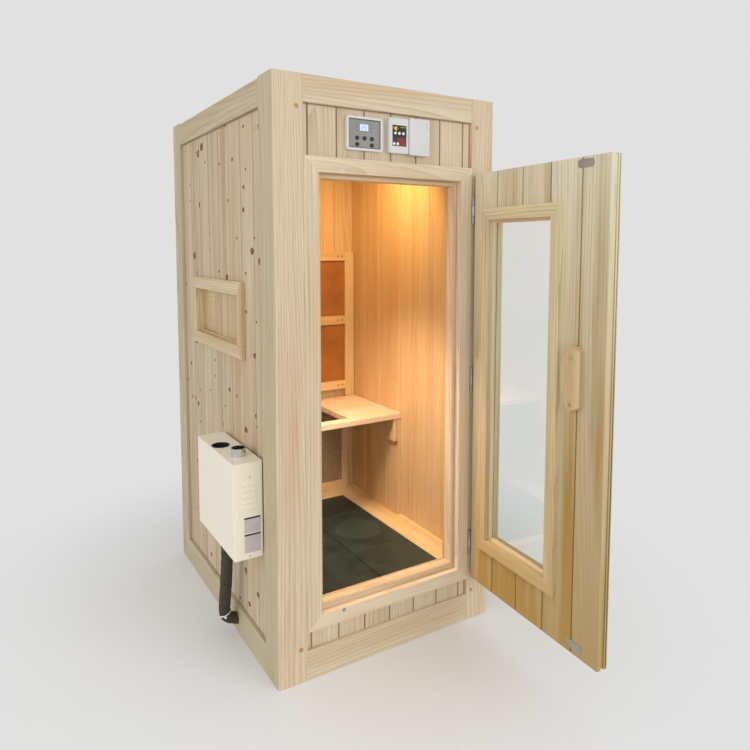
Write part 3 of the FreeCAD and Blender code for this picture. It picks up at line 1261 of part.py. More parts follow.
housing = rounded_along("panel_b_rounded", block("panel_b_block", B_X, (B_FRONT, BOARD_FRONT), B_Z),
                        1, "panel_b_corner")
recess = block("panel_b_recess", B_WINDOW_X,
               (f"{B_FRONT} - 2", f"{B_PLATE_BACK} + panel_b_cavity"), B_WINDOW_Z)
rail = block("cover_rail", (f"{B_X[1]}", f"{B_X[1]} + cover_width - cover_base_inset"),
             (f"{BOARD_FRONT} - cover_base_depth", BOARD_FRONT), B_Z)
sub_part("control_b_case", [cut("panel_b_opened", housing, recess), rail])
COVER_FACE = f"({B_FRONT} - cover_play - cover_thickness)"
COVER_X = from_here(f"({B_X[1]} + cover_play)", "cover_width")
COVER_Z = (f"({B_Z[0]} - cover_play - cover_lip)", f"({B_Z[1]} + cover_play + cover_lip)")
cover_back = f"({BOARD_FRONT} - cover_play - cover_base_depth / 3)"
slide = rounded_along("cover_rounded", block("cover_block", COVER_X, (COVER_FACE, cover_back),
                                             COVER_Z), 1, "panel_b_corner")
channel = block("cover_channel", (f"{COVER_X[0]} - 2", f"{COVER_X[1]} + 2"),
                (f"{COVER_FACE} + cover_thickness", f"{cover_back} + 2"),
                (f"{B_Z[0]} - cover_play", f"{B_Z[1]} + cover_play"))
grip = block("cover_grip", (f"{COVER_X[1]} - 14", f"{COVER_X[1]} - 8"),
             (f"{COVER_FACE} - 1", f"{COVER_FACE} + 1.5"),
             (f"{B_Z[1]} - 34", f"{B_Z[1]} - 6"))
sub_part("control_b_cover", [cut("cover_gripped", cut("cover_open", slide, channel), grip)])

# ---- check and write ------------------------------------------------------------------------

doc.recompute()
failed = [item.Name for item in doc.Objects if {"Invalid", "Error"} & set(item.State)]
if failed:
    raise RuntimeError(f"these objects did not build: {failed}")
for part in sub_parts:
    if part.Shape.isNull() or not part.Shape.isValid() or not part.Shape.Solids:
        raise RuntimeError(f"{part.Label} has no valid solid")
os.makedirs("parts", exist_ok=True)
whole = FreeCAD.BoundBox()
for part in sub_parts:
    part.Shape.exportStep(f"parts/{part.Label}.step")
    whole.add(part.Shape.BoundBox)
print(len(sub_parts), "sub-parts in", whole)
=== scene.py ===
# %% [markdown]
# # A one-person steam cabin, dressed for a studio picture
# The cabin is a joiner's piece: a frame of planed softwood posts and rails, tongue-and-groove
# boards between them, a boarded door that stands open, a warm lamp inside, and a cream steam
# boiler on its left wall. The solids come from the CAD model and stay exactly where they are.
# This lesson gives each of them a finish, and adds the small things that a solid model leaves
# out: screws, plates, lit figures, glazing beads, wrinkles in a hose.

# %% Load the solids as a fixed frame
import json
import math

import bpy
from mathutils import Matrix, Vector, noise


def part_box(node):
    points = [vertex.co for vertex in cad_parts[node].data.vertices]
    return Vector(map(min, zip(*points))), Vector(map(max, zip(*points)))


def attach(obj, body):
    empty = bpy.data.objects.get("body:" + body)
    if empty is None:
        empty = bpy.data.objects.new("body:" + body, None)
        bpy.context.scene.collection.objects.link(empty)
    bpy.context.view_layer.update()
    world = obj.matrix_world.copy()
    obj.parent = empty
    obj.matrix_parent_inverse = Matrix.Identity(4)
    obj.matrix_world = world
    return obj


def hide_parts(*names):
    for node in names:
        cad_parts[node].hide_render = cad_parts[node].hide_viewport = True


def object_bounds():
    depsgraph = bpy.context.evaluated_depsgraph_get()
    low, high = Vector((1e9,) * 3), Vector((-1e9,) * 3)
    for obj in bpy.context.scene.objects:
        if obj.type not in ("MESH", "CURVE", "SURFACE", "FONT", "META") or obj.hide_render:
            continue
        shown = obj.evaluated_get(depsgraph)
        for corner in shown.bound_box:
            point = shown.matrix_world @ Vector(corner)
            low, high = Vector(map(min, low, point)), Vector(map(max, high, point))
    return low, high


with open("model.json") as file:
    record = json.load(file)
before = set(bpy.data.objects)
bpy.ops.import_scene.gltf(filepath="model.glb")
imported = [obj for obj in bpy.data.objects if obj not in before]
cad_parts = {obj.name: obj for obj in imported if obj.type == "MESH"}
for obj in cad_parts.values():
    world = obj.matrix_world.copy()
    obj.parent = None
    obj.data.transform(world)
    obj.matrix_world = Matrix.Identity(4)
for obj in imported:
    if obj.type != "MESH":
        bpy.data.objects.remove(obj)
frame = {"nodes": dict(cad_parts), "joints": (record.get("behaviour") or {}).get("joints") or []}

cad_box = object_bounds()
nodes = frame["nodes"]

# %% [markdown]
# ## The camera
# A picture of furniture looks calm when its uprights stay upright, so the camera is nearly level
# and the frame is shifted down a little instead of tilted. A 31 mm lens at about two and a half
# metres gives the cabin the strong perspective of a small room.

# %% Camera
EYE = Vector((-1.1728, -2.3405, 1.3874))
TURN_DEG = 31.56
DIP_DEG = 4.72
LENS_MM = 31.1
SENSOR_MM = 36.0
FRAME_SHIFT = -0.1

camera_data = bpy.data.cameras.new("studio_camera")
camera_data.lens = LENS_MM
camera_data.sensor_width = SENSOR_MM
camera_data.shift_y = FRAME_SHIFT
camera = bpy.data.objects.new("studio_camera", camera_data)
camera.location = EYE
camera.rotation_euler = (math.radians(90 - DIP_DEG), 0.0, math.radians(-TURN_DEG))
bpy.context.scene.collection.objects.link(camera)
bpy.context.scene.camera = camera
print("camera at", tuple(round(v, 3) for v in EYE), "turned", TURN_DEG, "degrees")

# %% [markdown]
# ## Colours and shader nodes
# A colour picked from paint or wood is an sRGB value, but a shader reckons in linear light, so
# one function turns every hex value to linear. A second small function adds any shader node with
# its settings and links, which keeps each material below short enough to read.

# %% Colour and node helpers
def linear(hex_value):
    """An sRGB hex value as linear red, green and blue, with an alpha of one."""
    channels = [int(hex_value[place:place + 2], 16) / 255 for place in (1, 3, 5)]
    return tuple(c / 12.92 if c <= 0.04045 else ((c + 0.055) / 1.055) ** 2.4
                 for c in channels) + (1.0,)


def add(tree, kind, sockets=None, **settings):
    """Add a shader node; sockets maps an input's name or number to a value or a source."""
    made = tree.nodes.new("ShaderNode" + kind)
    for name, setting in settings.items():
        setattr(made, name, setting)
    for key, source in (sockets or {}).items():
        if isinstance(source, bpy.types.Node):
            source = source.outputs[0]
        if isinstance(source, bpy.types.NodeSocket):
            tree.links.new(source, made.inputs[key])
        else:
            made.inputs[key].default_value = source
    return made


def new_material(name):
    """An empty node material, named for its real finish."""
    material = bpy.data.materials.new(name)
    material.use_nodes = True
    material.node_tree.nodes.clear()
    return material, material.node_tree


def finish_material(tree, surface, bump=None):
    """Link a shader to the material's output."""
    if bump is not None:
        tree.links.new(bump.outputs["Normal"], surface.inputs["Normal"])
    add(tree, "OutputMaterial", {"Surface": surface})


print("linear value of a mid grey:", [round(c, 3) for c in linear("#808080")])

# %% [markdown]
# ## The studio
# The cabin stands on a plain pale floor that runs into a plain pale background. The floor is one
# large sheet that fades out with its distance from the cabin, so no horizon line shows. The
# surroundings look pale grey to the camera and shine a little less brightly on the wood, which
# keeps the shadows open.

# %% Floor and background
BACKGROUND = "#e1e1e1"
SURROUND_STRENGTH = 0.62
FLOOR_RADIUS = 30.0
FADE_FROM = 0.62
FADE_TO = 1.7

bpy.ops.object.select_all(action="DESELECT")
bpy.ops.mesh.primitive_circle_add(vertices=96, radius=FLOOR_RADIUS, fill_type="NGON")
floor = bpy.context.object
floor.name = "studio_floor"
material, tree = new_material("pale studio floor")
position = add(tree, "TexCoord").outputs["Object"]
distance = add(tree, "VectorMath", {0: position}, operation="LENGTH").outputs["Value"]
fade = add(tree, "MapRange", {"Value": distance, "From Min": FADE_FROM, "From Max": FADE_TO},
           interpolation_type="SMOOTHSTEP")
paint = add(tree, "BsdfDiffuse", {"Color": linear("#f0f1f2")})
clear = add(tree, "BsdfTransparent")
finish_material(tree, add(tree, "MixShader", {0: fade, 1: paint, 2: clear}))
floor.data.materials.append(material)

world = bpy.data.worlds.new("pale studio")
world.use_nodes = True
bpy.context.scene.world = world
tree = world.node_tree
tree.nodes.clear()
seen = add(tree, "Background", {"Color": linear(BACKGROUND), "Strength": 1.0})
felt = add(tree, "Background", {"Color": linear("#ffffff"), "Strength": SURROUND_STRENGTH})
path = add(tree, "LightPath")
straight = add(tree, "Math", {0: path.outputs["Is Camera Ray"],
                              1: path.outputs["Is Transmission Ray"]}, operation="MAXIMUM")
either = add(tree, "MixShader", {0: straight, 1: felt, 2: seen})
add(tree, "OutputWorld", {"Surface": either})
bpy.context.scene.view_settings.view_transform = "Standard"
print("floor fades out between", FADE_FROM, "and", FADE_TO, "m from the middle")

# %% [markdown]
# ## Soft light
# A softbox is a large white panel, and the larger it is the softer its shadows are. An area light
# does the same. A wide one stands to the right of the door as the key, one more in front and one
# to the left fill what the key leaves dark, and one hangs overhead. The camera never sees the
# panels themselves.

# %% Soft lights
def soft_panel(name, place, towards, size, watts, tint="#ffffff", spread=180):
    """A large square light that faces a point."""
    data = bpy.data.lights.new(name, "AREA")
    data.shape = "SQUARE"
    data.size = size
    data.energy = watts
    data.color = linear(tint)[:3]
    data.spread = math.radians(spread)
    panel = bpy.data.objects.new(name, data)
    panel.location = place
    panel.rotation_euler = (Vector(towards) - Vector(place)).to_track_quat("-Z", "Y").to_euler()
    panel.visible_camera = False
    panel.visible_transmission = False
    bpy.context.scene.collection.objects.link(panel)
    return panel


SOFT_WHITE = "#fffbf4"
COOL_WHITE = "#fbfdff"
soft_panel("key_panel", (1.9, -5.0, 2.3), (0, -0.5, 0.8), 3.0, 58, SOFT_WHITE)
soft_panel("front_panel", (-1.0, -4.8, 1.5), (0, -0.5, 0.9), 2.2, 22, SOFT_WHITE)
soft_panel("fill_panel", (-4.0, -1.4, 1.7), (-0.4, 0, 0.7), 2.6, 44, COOL_WHITE)
soft_panel("top_panel", (0.4, -0.4, 5.0), (0, 0, 0), 3.0, 24)

# %% [markdown]
# ## Planed softwood
# Almost everything here is pale pine, planed and left bare. What the eye takes for wood is a few
# layers: growth rings that run nearly straight up a board and close into long arches where the
# saw cut them flat, a fine fibre on top, a knot here and there, and boards that differ slightly
# because they come from different trees. An image would repeat and stretch. Here each board
# instead gets its own cut out of one endless pattern, because its number sets where the pattern
# is read.

# %% The way a board lies
def lay_along(tree, axes, order):
    """A place as (along, across, through) a board, whose axes are named in that order."""
    return add(tree, "CombineXYZ", {i: axes["XYZ".index(a)] for i, a in enumerate(order)})


def crossing_members(tree, axes, joint):
    """One on a frame's crossing members, nought on its uprights."""
    def off_centre(axis, centre, half):
        shifted = add(tree, "Math", {0: axes["XYZ".index(axis)], 1: centre}, operation="SUBTRACT")
        size = add(tree, "Math", {0: shifted}, operation="ABSOLUTE")
        return add(tree, "Math", {0: size, 1: half}, operation="SUBTRACT")
    side = off_centre(*joint[0])
    end = off_centre(*joint[1]) if len(joint) > 1 else 0.0
    return add(tree, "Math", {0: side, 1: end}, operation="LESS_THAN")


def ring_of(low, high, axes, inset=0.0):
    """Rows of (axis, centre, half size) of a box: the lines where a frame round it turns."""
    ways = ["XYZ".index(axis) for axis in axes]
    return [(axis, (low[way] + high[way]) / 2, (high[way] - low[way]) / 2 - inset)
            for axis, way in zip(axes, ways)]


# %% [markdown]
# ## Board numbers
# A board's number is its place divided by the width of a board and rounded down. In a frame the
# uprights count sideways and the crossing members count upwards, so no member changes halfway.

# %% Board numbers
WHOLE = 9  # metres, more than the cabin measures: one board takes all of that axis
SIDES = 1  # a metre from the middle: the members left and right of it are two boards


def board_number(tree, place, start, pitch, crossed, joint):
    """A vector that is the same all over one board and differs from its neighbours'."""
    number = add(tree, "VectorMath", {0: place, 1: start}, operation="SUBTRACT")
    number = add(tree, "VectorMath", {0: number, 1: pitch}, operation="DIVIDE")
    number = add(tree, "VectorMath", {0: number}, operation="FLOOR")
    if crossed is None:
        return number
    upright = tuple(float(axis == joint[0][0]) for axis in "XYZ")
    crossing = tuple(1.0 - part for part in upright)
    counted = add(tree, "Mix", {0: crossed, 4: upright, 5: crossing}, data_type="VECTOR")
    counted = add(tree, "VectorMath", {0: number, 1: counted.outputs[1]}, operation="MULTIPLY")
    shift = add(tree, "VectorMath", {0: crossed, 1: (3, 5, 7)}, operation="MULTIPLY")
    return add(tree, "VectorMath", {0: counted, 1: shift})


print("a pitch of", WHOLE, "m keeps a piece whole, one of", SIDES, "m parts it in the middle")

# %% [markdown]
# ## Growth rings and fibre
# A tree adds a pale layer in spring and a dark one in late summer, which stops short in autumn.
# So a ring is drawn as a number that rises across the board: its fraction, raised to a power, is
# pale for long and dark only just before it falls back. A slow noise, drawn out along the grain,
# bends the rings into arches. Real rings are two or three millimetres apart and real fibres a
# tenth of one. Both are drawn coarser here, so that they show at this size.

# %% Growth rings and fibre
RINGS_PER_M = (45.0, 140.0)   # rings 7 to 22 mm apart
ARCH = (0.30, 5.0, 5.0)       # arches about 3 m long and 200 mm wide, in turns per metre
ARCH_RINGS = 22.0             # how many rings an arch takes in
LATE_WOOD = 2.4               # the higher this power, the thinner the dark line
FIBRE = (5, 210, 210)         # fibres 200 mm long and 5 mm wide
CLOUD = (0.9, 16, 16)         # streaks of heart colour a metre long and 60 mm wide


def drawn_out(tree, cut, turns, detail):
    """A noise with so many turns per metre along, across and through the grain."""
    place = add(tree, "VectorMath", {0: cut, 1: turns}, operation="MULTIPLY")
    return add(tree, "TexNoise", {"Vector": place, "Scale": 1.0, "Detail": detail}).outputs[0]


def ring_count(tree, cut, seed):
    """A number that rises by one with each growth ring."""
    arch = drawn_out(tree, cut, ARCH, 1.0)
    across = add(tree, "SeparateXYZ", {0: cut}).outputs[1]
    slope = add(tree, "MapRange", {"Value": seed.outputs["Value"], "To Min": RINGS_PER_M[0],
                                   "To Max": RINGS_PER_M[1]})
    rings = add(tree, "Math", {0: across, 1: slope}, operation="MULTIPLY")
    return add(tree, "Math", {0: arch, 1: ARCH_RINGS, 2: rings}, operation="MULTIPLY_ADD")


print("rings", *(round(1000 / rings) for rings in RINGS_PER_M), "mm apart")

# %% [markdown]
# ## Knots
# A knot is a branch cut through: a dark round core with the rings bulging round it. Each cell of
# a Voronoi pattern holds one knot at most. Chance decides whether it is there and how large it
# is, and a fine noise keeps its edge ragged. The core is browner at its rim than in its middle.

# %% Knots
KNOT_CELL_MM = 85
KNOT_FLATTENED = 1.25   # knots are a quarter wider across the board than along it
KNOT_SCATTER = 0.7
KNOT_SMALLEST = 0.3     # of the largest, and small ones are the most common
RAGGED_PER_M = 130.0
RAGGED_MM = 3.4
KNOT_RIM = "#623a17"
KNOT_CORE = "#8f5a28"


def knot_field(tree, cut, chance_of, size_mm):
    """Where knots lie: how far from one in its own radii, and whether it is there at all."""
    place = add(tree, "VectorMath", {0: cut, 1: (KNOT_FLATTENED, 1, 1)}, operation="MULTIPLY")
    field = add(tree, "TexVoronoi", {"Vector": place, "Scale": 1000 / KNOT_CELL_MM,
                                     "Randomness": KNOT_SCATTER}, voronoi_dimensions="2D")
    chance = add(tree, "SeparateXYZ", {0: field.outputs["Color"]})
    here = add(tree, "Math", {0: chance.outputs[0], 1: chance_of}, operation="LESS_THAN")
    varied = add(tree, "Math", {0: chance.outputs[1], 1: 3.0}, operation="POWER")
    size = add(tree, "MapRange", {"Value": varied, "To Min": size_mm * KNOT_SMALLEST,
                                  "To Max": size_mm})
    ragged = add(tree, "TexNoise", {"Vector": cut, "Scale": RAGGED_PER_M,
                                    "Detail": 2.0}).outputs[0]
    reach = add(tree, "Math", {0: field.outputs["Distance"], 1: KNOT_CELL_MM},
                operation="MULTIPLY")
    reach = add(tree, "Math", {0: ragged, 1: RAGGED_MM, 2: reach}, operation="MULTIPLY_ADD")
    reach = add(tree, "Math", {0: reach, 1: RAGGED_MM / 2}, operation="SUBTRACT")
    return add(tree, "Math", {0: reach, 1: size}, operation="DIVIDE"), here


def rings_round_knots(tree, rings, reach, here):
    """Growth rings that bulge by up to three rings round a knot."""
    bulge = add(tree, "MapRange", {"Value": reach, "From Min": 4.0, "From Max": 0.6,
                                   "To Max": 3.0}, interpolation_type="SMOOTHSTEP")
    return add(tree, "Math", {0: bulge, 1: here, 2: rings}, operation="MULTIPLY_ADD")


def with_knots(tree, colour, reach, here):
    """A wood colour with brown knots in it."""
    knot = add(tree, "MapRange", {"Value": reach, "From Min": 1.05, "From Max": 0.8},
               interpolation_type="SMOOTHSTEP")
    knot = add(tree, "Math", {0: knot, 1: here}, operation="MULTIPLY")
    outer = add(tree, "MapRange", {"Value": reach, "From Min": 0.2, "From Max": 1.0})
    brown = add(tree, "Mix", {0: outer, 6: linear(KNOT_CORE), 7: linear(KNOT_RIM)},
                data_type="RGBA").outputs[2]
    return add(tree, "Mix", {0: knot, 6: colour, 7: brown}, data_type="RGBA").outputs[2]


print("one knot at most in each", KNOT_CELL_MM, "mm of board")

# %% [markdown]
# ## Grooves between boards
# Where two tongue-and-groove boards meet, the groove lies in shade and holds a little dust, so the
# wood is painted darker there by a few millimetres. A painted shadow line darkens the boards where
# they run in behind a frame.
# A Ping-Pong of the place across the boards gives the distance to the nearest groove.

# %% Grooves between boards
GROOVE_SHADE = "#6b4422"
GROOVE_DARKEST = 0.0012
GROOVE_REACH = 0.0036
EDGE_REACH = 0.0070
GROOVE_STRENGTH = 0.66


def groove_shade(tree, axes, start, pitch, seam, edges):
    """How much painted shade darkens the wood along the seam and the frame's edges, or None."""
    nears = []
    if seam:
        way = "XYZ".index(seam)
        near = add(tree, "Math", {0: axes[way], 1: start[way]}, operation="SUBTRACT")
        nears.append((add(tree, "Math", {0: near, 1: pitch[way] / 2}, operation="PINGPONG"),
                      GROOVE_REACH))
    for axis, line in edges:
        near = add(tree, "Math", {0: axes["XYZ".index(axis)], 1: line}, operation="SUBTRACT")
        nears.append((add(tree, "Math", {0: near}, operation="ABSOLUTE"), EDGE_REACH))
    dark = None
    for near, reach in nears:
        shade = add(tree, "MapRange", {"Value": near, "From Min": reach,
                                       "From Max": GROOVE_DARKEST, "To Max": GROOVE_STRENGTH})
        dark = shade if dark is None else add(tree, "Math", {0: dark, 1: shade},
                                              operation="MAXIMUM")
    return dark


print("grooves darken", 1000 * GROOVE_REACH, "mm to each side")

# %% [markdown]
# ## One softwood for every board
# All the layers meet in one function, so that a piece is told only what differs: its three
# colours, the way its boards lie, their width, and whether knots, painted groove shade or a
# frame's corners show. Planed pine has a dull sheen, a little glossier on the dense late wood, and
# a bump of half a millimetre lets the light catch its lines.

# %% Softwood
CUT_SPREAD = (9, 5, 5)        # metres of pattern that the boards are cut from
TONE = (0.91, 1.05)           # the darkest and the palest board
FOOT_HEIGHT = 0.1             # where the foot's heart colour is fullest


def softwood(name, wood, order="ZXY", start=(0, 0, 0), pitch=(WHOLE, WHOLE, WHOLE), joint=None,
             cross_order="XZY", cross_wood=None, turned=None, knots=0.0, knot_mm=21.0,
             figure=1.0, seam=None, edges=(), foot=None):
    """Planed softwood of (early wood, late wood, heart) colours, cut into boards.

    order names the axes along, across and through a board, and seam the axis that boards meet
    on. edges are (axis, place) lines where the boards run into a frame. cross_order and
    cross_wood are for a frame's crossing members. foot is a height below which the heart
    colour gathers."""
    material, tree = new_material(name)
    place = add(tree, "TexCoord").outputs["Object"]
    if turned:
        place = add(tree, "Mapping", {"Vector": place, "Location": turned[0],
                                      "Rotation": (0, 0, turned[1])},
                    vector_type="TEXTURE").outputs[0]
    axes = add(tree, "SeparateXYZ", {0: place}).outputs
    lie = lay_along(tree, axes, order)
    crossed = None
    if joint:
        crossed = crossing_members(tree, axes, joint)
        lie = add(tree, "Mix", {0: crossed, 4: lie, 5: lay_along(tree, axes, cross_order)},
                  data_type="VECTOR").outputs[1]
    seed = add(tree, "TexWhiteNoise",
               {"Vector": board_number(tree, place, start, pitch, crossed, joint)})
    cut = add(tree, "VectorMath", {0: seed.outputs["Color"], 1: CUT_SPREAD, 2: lie},
              operation="MULTIPLY_ADD")

    rings = ring_count(tree, cut, seed)
    if knots:
        reach, here = knot_field(tree, cut, knots, knot_mm)
        rings = rings_round_knots(tree, rings, reach, here)
    ring = add(tree, "Math", {0: rings}, operation="FRACT")
    ring = add(tree, "Math", {0: ring, 1: LATE_WOOD}, operation="POWER")
    fine = drawn_out(tree, cut, FIBRE, 2.0)

    # heart colour in long streaks, and more of it towards the foot
    tint = add(tree, "MapRange", {"Value": drawn_out(tree, cut, CLOUD, 3.0), "From Min": 0.44,
                                  "From Max": 0.70, "To Max": 0.85})
    if foot:
        low = add(tree, "MapRange", {"Value": axes[2], "From Min": foot,
                                     "From Max": FOOT_HEIGHT, "To Max": 0.9})
        tint = add(tree, "Math", {0: tint, 1: 0.6, 2: low}, operation="MULTIPLY_ADD",
                   use_clamp=True)
    early, late, heart = (linear(value) for value in wood)
    if cross_wood:
        early, late, heart = (add(tree, "Mix", {0: crossed, 6: one, 7: linear(other)},
                                  data_type="RGBA").outputs[2]
                              for one, other in zip((early, late, heart), cross_wood))
    colour = add(tree, "Mix", {0: tint, 6: early, 7: heart}, data_type="RGBA").outputs[2]

    # late wood where a ring ends and where the fibre is dense
    lines = add(tree, "Math", {0: ring, 1: 0.40 * figure}, operation="MULTIPLY")
    lines = add(tree, "Math", {0: fine, 1: 0.80, 2: lines}, operation="MULTIPLY_ADD")
    lines = add(tree, "Math", {0: lines, 1: 0.30}, operation="SUBTRACT", use_clamp=True)
    colour = add(tree, "Mix", {0: lines, 6: colour, 7: late}, data_type="RGBA").outputs[2]
    tone = add(tree, "MapRange", {"Value": seed.outputs["Value"], "To Min": TONE[0],
                                  "To Max": TONE[1]})
    colour = add(tree, "VectorMath", {0: colour, 3: tone}, operation="SCALE").outputs[0]
    # painted shade: darker along the grooves between boards, with a little dust there, and painted
    # shadow lines where boards run in behind a frame
    dark = groove_shade(tree, axes, start, pitch, seam, edges)
    if dark:
        colour = add(tree, "Mix", {0: dark, 6: colour, 7: linear(GROOVE_SHADE)},
                     data_type="RGBA").outputs[2]
    if knots:
        colour = with_knots(tree, colour, reach, here)

    height = add(tree, "Math", {0: ring, 1: 0.5, 2: fine}, operation="MULTIPLY_ADD")
    bump = add(tree, "Bump", {"Strength": 0.35, "Distance": 0.0006, "Height": height})
    rough = add(tree, "MapRange", {"Value": height, "To Min": 0.64, "To Max": 0.48})
    planed = add(tree, "BsdfPrincipled", {"Base Color": colour, "Roughness": rough, "IOR": 1.5,
                                          "Specular IOR Level": 0.3})
    finish_material(tree, planed, bump)
    return material


finishes = {}


def finish(material, *names):
    """Give a finish to CAD nodes, through their objects' own slots."""
    for name in names:
        for place in nodes[name].material_slots:
            place.material = material
        finishes[name] = material.name


print("softwood has", softwood.__code__.co_argcount - 1, "settings besides its name")

# %% [markdown]
# ## The frame and the outer walls
# The posts and rails are one planed wood, pale on their front faces, and the faces and rails on
# the cabin's sides take a darker, greyer copy of it: painted shade for the sides that get less
# light.
# The side and rear walls are boarded with cheaper, knotty wood, and the front with clear boards.
# Widths and edges come from the solids' own boxes, so the painted groove shade lies where the
# boards really meet.

# %% Wood of the frame and the outer walls
PALE = ("#e2d4ba", "#b3936a", "#d9c2a1")
GREYED = ("#d3c6a6", "#a18a64", "#cdb793")
PINK = ("#dccdae", "#a17e55", "#cba47c")
PLUG_END = ("#c9a46d", "#8f6335", "#b98d55")
FRONT_BOARD = 0.1
FIRST_BOARD = 0.019     # what is left over for the leftmost front board
SIDE_BOARD = 0.115
RAIL_INSIDE = 0.35      # front and rear rails lie within this of the middle
KNOTTY = {"knots": 0.27, "figure": 0.8}

wall_low, wall_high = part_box("boards_left")
front_low, front_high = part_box("boards_front")
casing_low, casing_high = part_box("door_casing")
side_edges = [("Y", wall_low.y), ("Y", wall_high.y), ("Z", wall_high.z), ("Z", wall_low.z)]
front_edges = [("X", front_low.x), ("X", front_high.x), ("Z", front_high.z),
               ("Z", casing_low.z)]

# planed pine, pale on the front, with a darker, greyer copy on the sides as painted shade: calm,
# straight wood
finish(softwood("planed pine post", GREYED, pitch=(SIDES, SIDES, WHOLE),
                joint=ring_of(*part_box("corner_posts"), "XY"), cross_order="ZXY",
                cross_wood=("#e3d3b7", "#b38f6a", "#dab998")), "corner_posts")
finish(softwood("planed pine rail", GREYED, order="YZX", pitch=(SIDES, SIDES, WHOLE),
                joint=[("X", 0, RAIL_INSIDE)], cross_wood=PALE), "top_rails", "bottom_rails")
# end grain drinks up light: a plug reads as a small darker dot
finish(softwood("pine plug end grain", PLUG_END, order="YXZ", pitch=(0.1, 0.1, 0.1)),
       "frame_plugs", "door_plugs")
# clear boards: pale, with painted groove shade every hand's width
finish(softwood("front board pine", PALE, start=(front_low.x + FIRST_BOARD, 0, 0.9),
                pitch=(FRONT_BOARD, WHOLE, SIDES), seam="X", edges=front_edges), "boards_front")
# knotty boards: pinker, livelier, with brown eyes scattered over them
finish(softwood("knotty left board pine", PINK, order="ZYX",
                start=(0, wall_high.y - SIDE_BOARD, 0), pitch=(WHOLE, SIDE_BOARD, WHOLE),
                seam="Y", edges=side_edges, **KNOTTY), "boards_left")
finish(softwood("knotty right board pine", PINK, order="ZYX",
                start=(0, wall_low.y + SIDE_BOARD, 0), pitch=(WHOLE, SIDE_BOARD, WHOLE),
                seam="Y", edges=side_edges, **KNOTTY), "boards_right")
finish(softwood("knotty rear board pine", PINK, start=(front_high.x, 0, 0),
                pitch=(FRONT_BOARD, WHOLE, WHOLE), seam="X", **KNOTTY), "boards_rear")
print(len(finishes), "frame and wall nodes have a finish")

# %% [markdown]
# ## The linings and the furniture
# Inside, the warm lamp does most of the colouring, so the wood itself is only a little yellower
# than outside. Frames are told where their corners are, and the grain then turns there, as it
# does in a mitred or a jointed frame.

# %% Wood of the linings and the furniture
LINING = ("#e2c99b", "#b98f5c", "#dbb480")
LINING_BOARD = 0.125
PLYWOOD_STRIP = 0.31
CASING_BOARD = 0.048
SHUTTER_BOARD = 0.078

lining_low, lining_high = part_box("lining_left")
casing_middle = (0, 0, (casing_low.z + casing_high.z) / 2)
vent_low, vent_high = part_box("vent_frame")
vent_ring = ring_of(vent_low, vent_high, "YZ")

# matched lining boards: honey-coloured and quiet, with a fine painted groove shade between them
finish(softwood("left lining pine", LINING, order="ZYX",
                start=(0, lining_low.y + LINING_BOARD, 0),
                pitch=(WHOLE, LINING_BOARD, WHOLE), seam="Y"), "lining_left")
finish(softwood("right lining pine", LINING, order="ZYX",
                start=(0, lining_high.y - LINING_BOARD, 0),
                pitch=(WHOLE, LINING_BOARD, WHOLE), figure=0.6), "lining_right")
finish(softwood("rear lining pine", LINING,
                start=(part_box("lining_rear")[0].x + LINING_BOARD, 0, 0),
                pitch=(LINING_BOARD, WHOLE, WHOLE)), "lining_rear", "lining_front")
finish(softwood("ceiling lining pine", LINING, order="XYZ",
                start=(0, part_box("ceiling_lining")[0].y, 0),
                pitch=(WHOLE, LINING_BOARD, WHOLE), seam="Y"), "ceiling_lining")
# hidden wood is left as it came: darker, with a weak figure
finish(softwood("rough sawn pine", ("#cdb28a", "#94704a", "#bd9468"), figure=0.6), "wall_studs")
finish(softwood("pine plywood", ("#d5bb90", "#a8875c", "#c7a172"), order="YXZ",
                pitch=(PLYWOOD_STRIP, WHOLE, WHOLE)), "roof_panel", "floor_deck")
# mitred trim of clear wood: the palest and smoothest in the cabin
finish(softwood("mitred casing pine", ("#eadcc3", "#c2a37b", "#e1c9a8"), start=casing_middle,
                pitch=(SIDES, WHOLE, SIDES), joint=ring_of(casing_low, casing_high, "XZ")),
       "door_casing")
finish(softwood("jamb pine", ("#ead8bc", "#c6a57c", "#dfbd99"), start=casing_middle,
                pitch=(SIDES, WHOLE, SIDES),
                joint=ring_of(*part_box("door_jamb"), "XZ", CASING_BOARD)), "door_jamb")
# sanded seat wood: nearly white, with its lines kept faint
finish(softwood("bench pine", ("#f0dfc6", "#c8a57b", "#e6c5a2"), order="XYZ", figure=0.7),
       "bench_top")
finish(softwood("bench support pine", LINING, order="ZYX", pitch=(SIDES, WHOLE, WHOLE)),
       "bench_supports")
finish(softwood("backrest frame pine", LINING, pitch=(SIDES, WHOLE, 0.3),
                joint=ring_of(*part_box("backrest_heaters"), "X")), "backrest_frame")
finish(softwood("heater frame pine", LINING, pitch=(SIDES, WHOLE, 0.4),
                joint=ring_of(*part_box("leg_heater_grille"), "X")), "leg_heater_frame")
# a browner pine than the walls
finish(softwood("lamp shade pine", ("#c99c63", "#8a5a2c", "#b8834b")), "lamp_shade")
finish(softwood("floor border pine", ("#edd9ac", "#c39a5e", "#e4c28a"), order="YXZ",
                pitch=(SIDES, SIDES, WHOLE), joint=ring_of(*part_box("floor_tiles"), "X"),
                cross_order="XYZ"), "floor_border")
finish(softwood("vent frame pine", ("#dccaa5", "#ab8758", "#d0b086"), order="ZYX",
                start=(0, vent_ring[0][1], vent_ring[1][1]), pitch=(WHOLE, SIDES, SIDES),
                cross_order="YZX", joint=vent_ring), "vent_frame")
finish(softwood("vent shutter pine", ("#d6c29a", "#a88455", "#cdaa7d"), order="ZYX",
                start=(0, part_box("vent_shutter")[0].y, 0),
                pitch=(WHOLE, SHUTTER_BOARD, WHOLE), seam="Y"), "vent_shutter")
print(len(finishes), "nodes have a finish, the linings and the furniture among them")

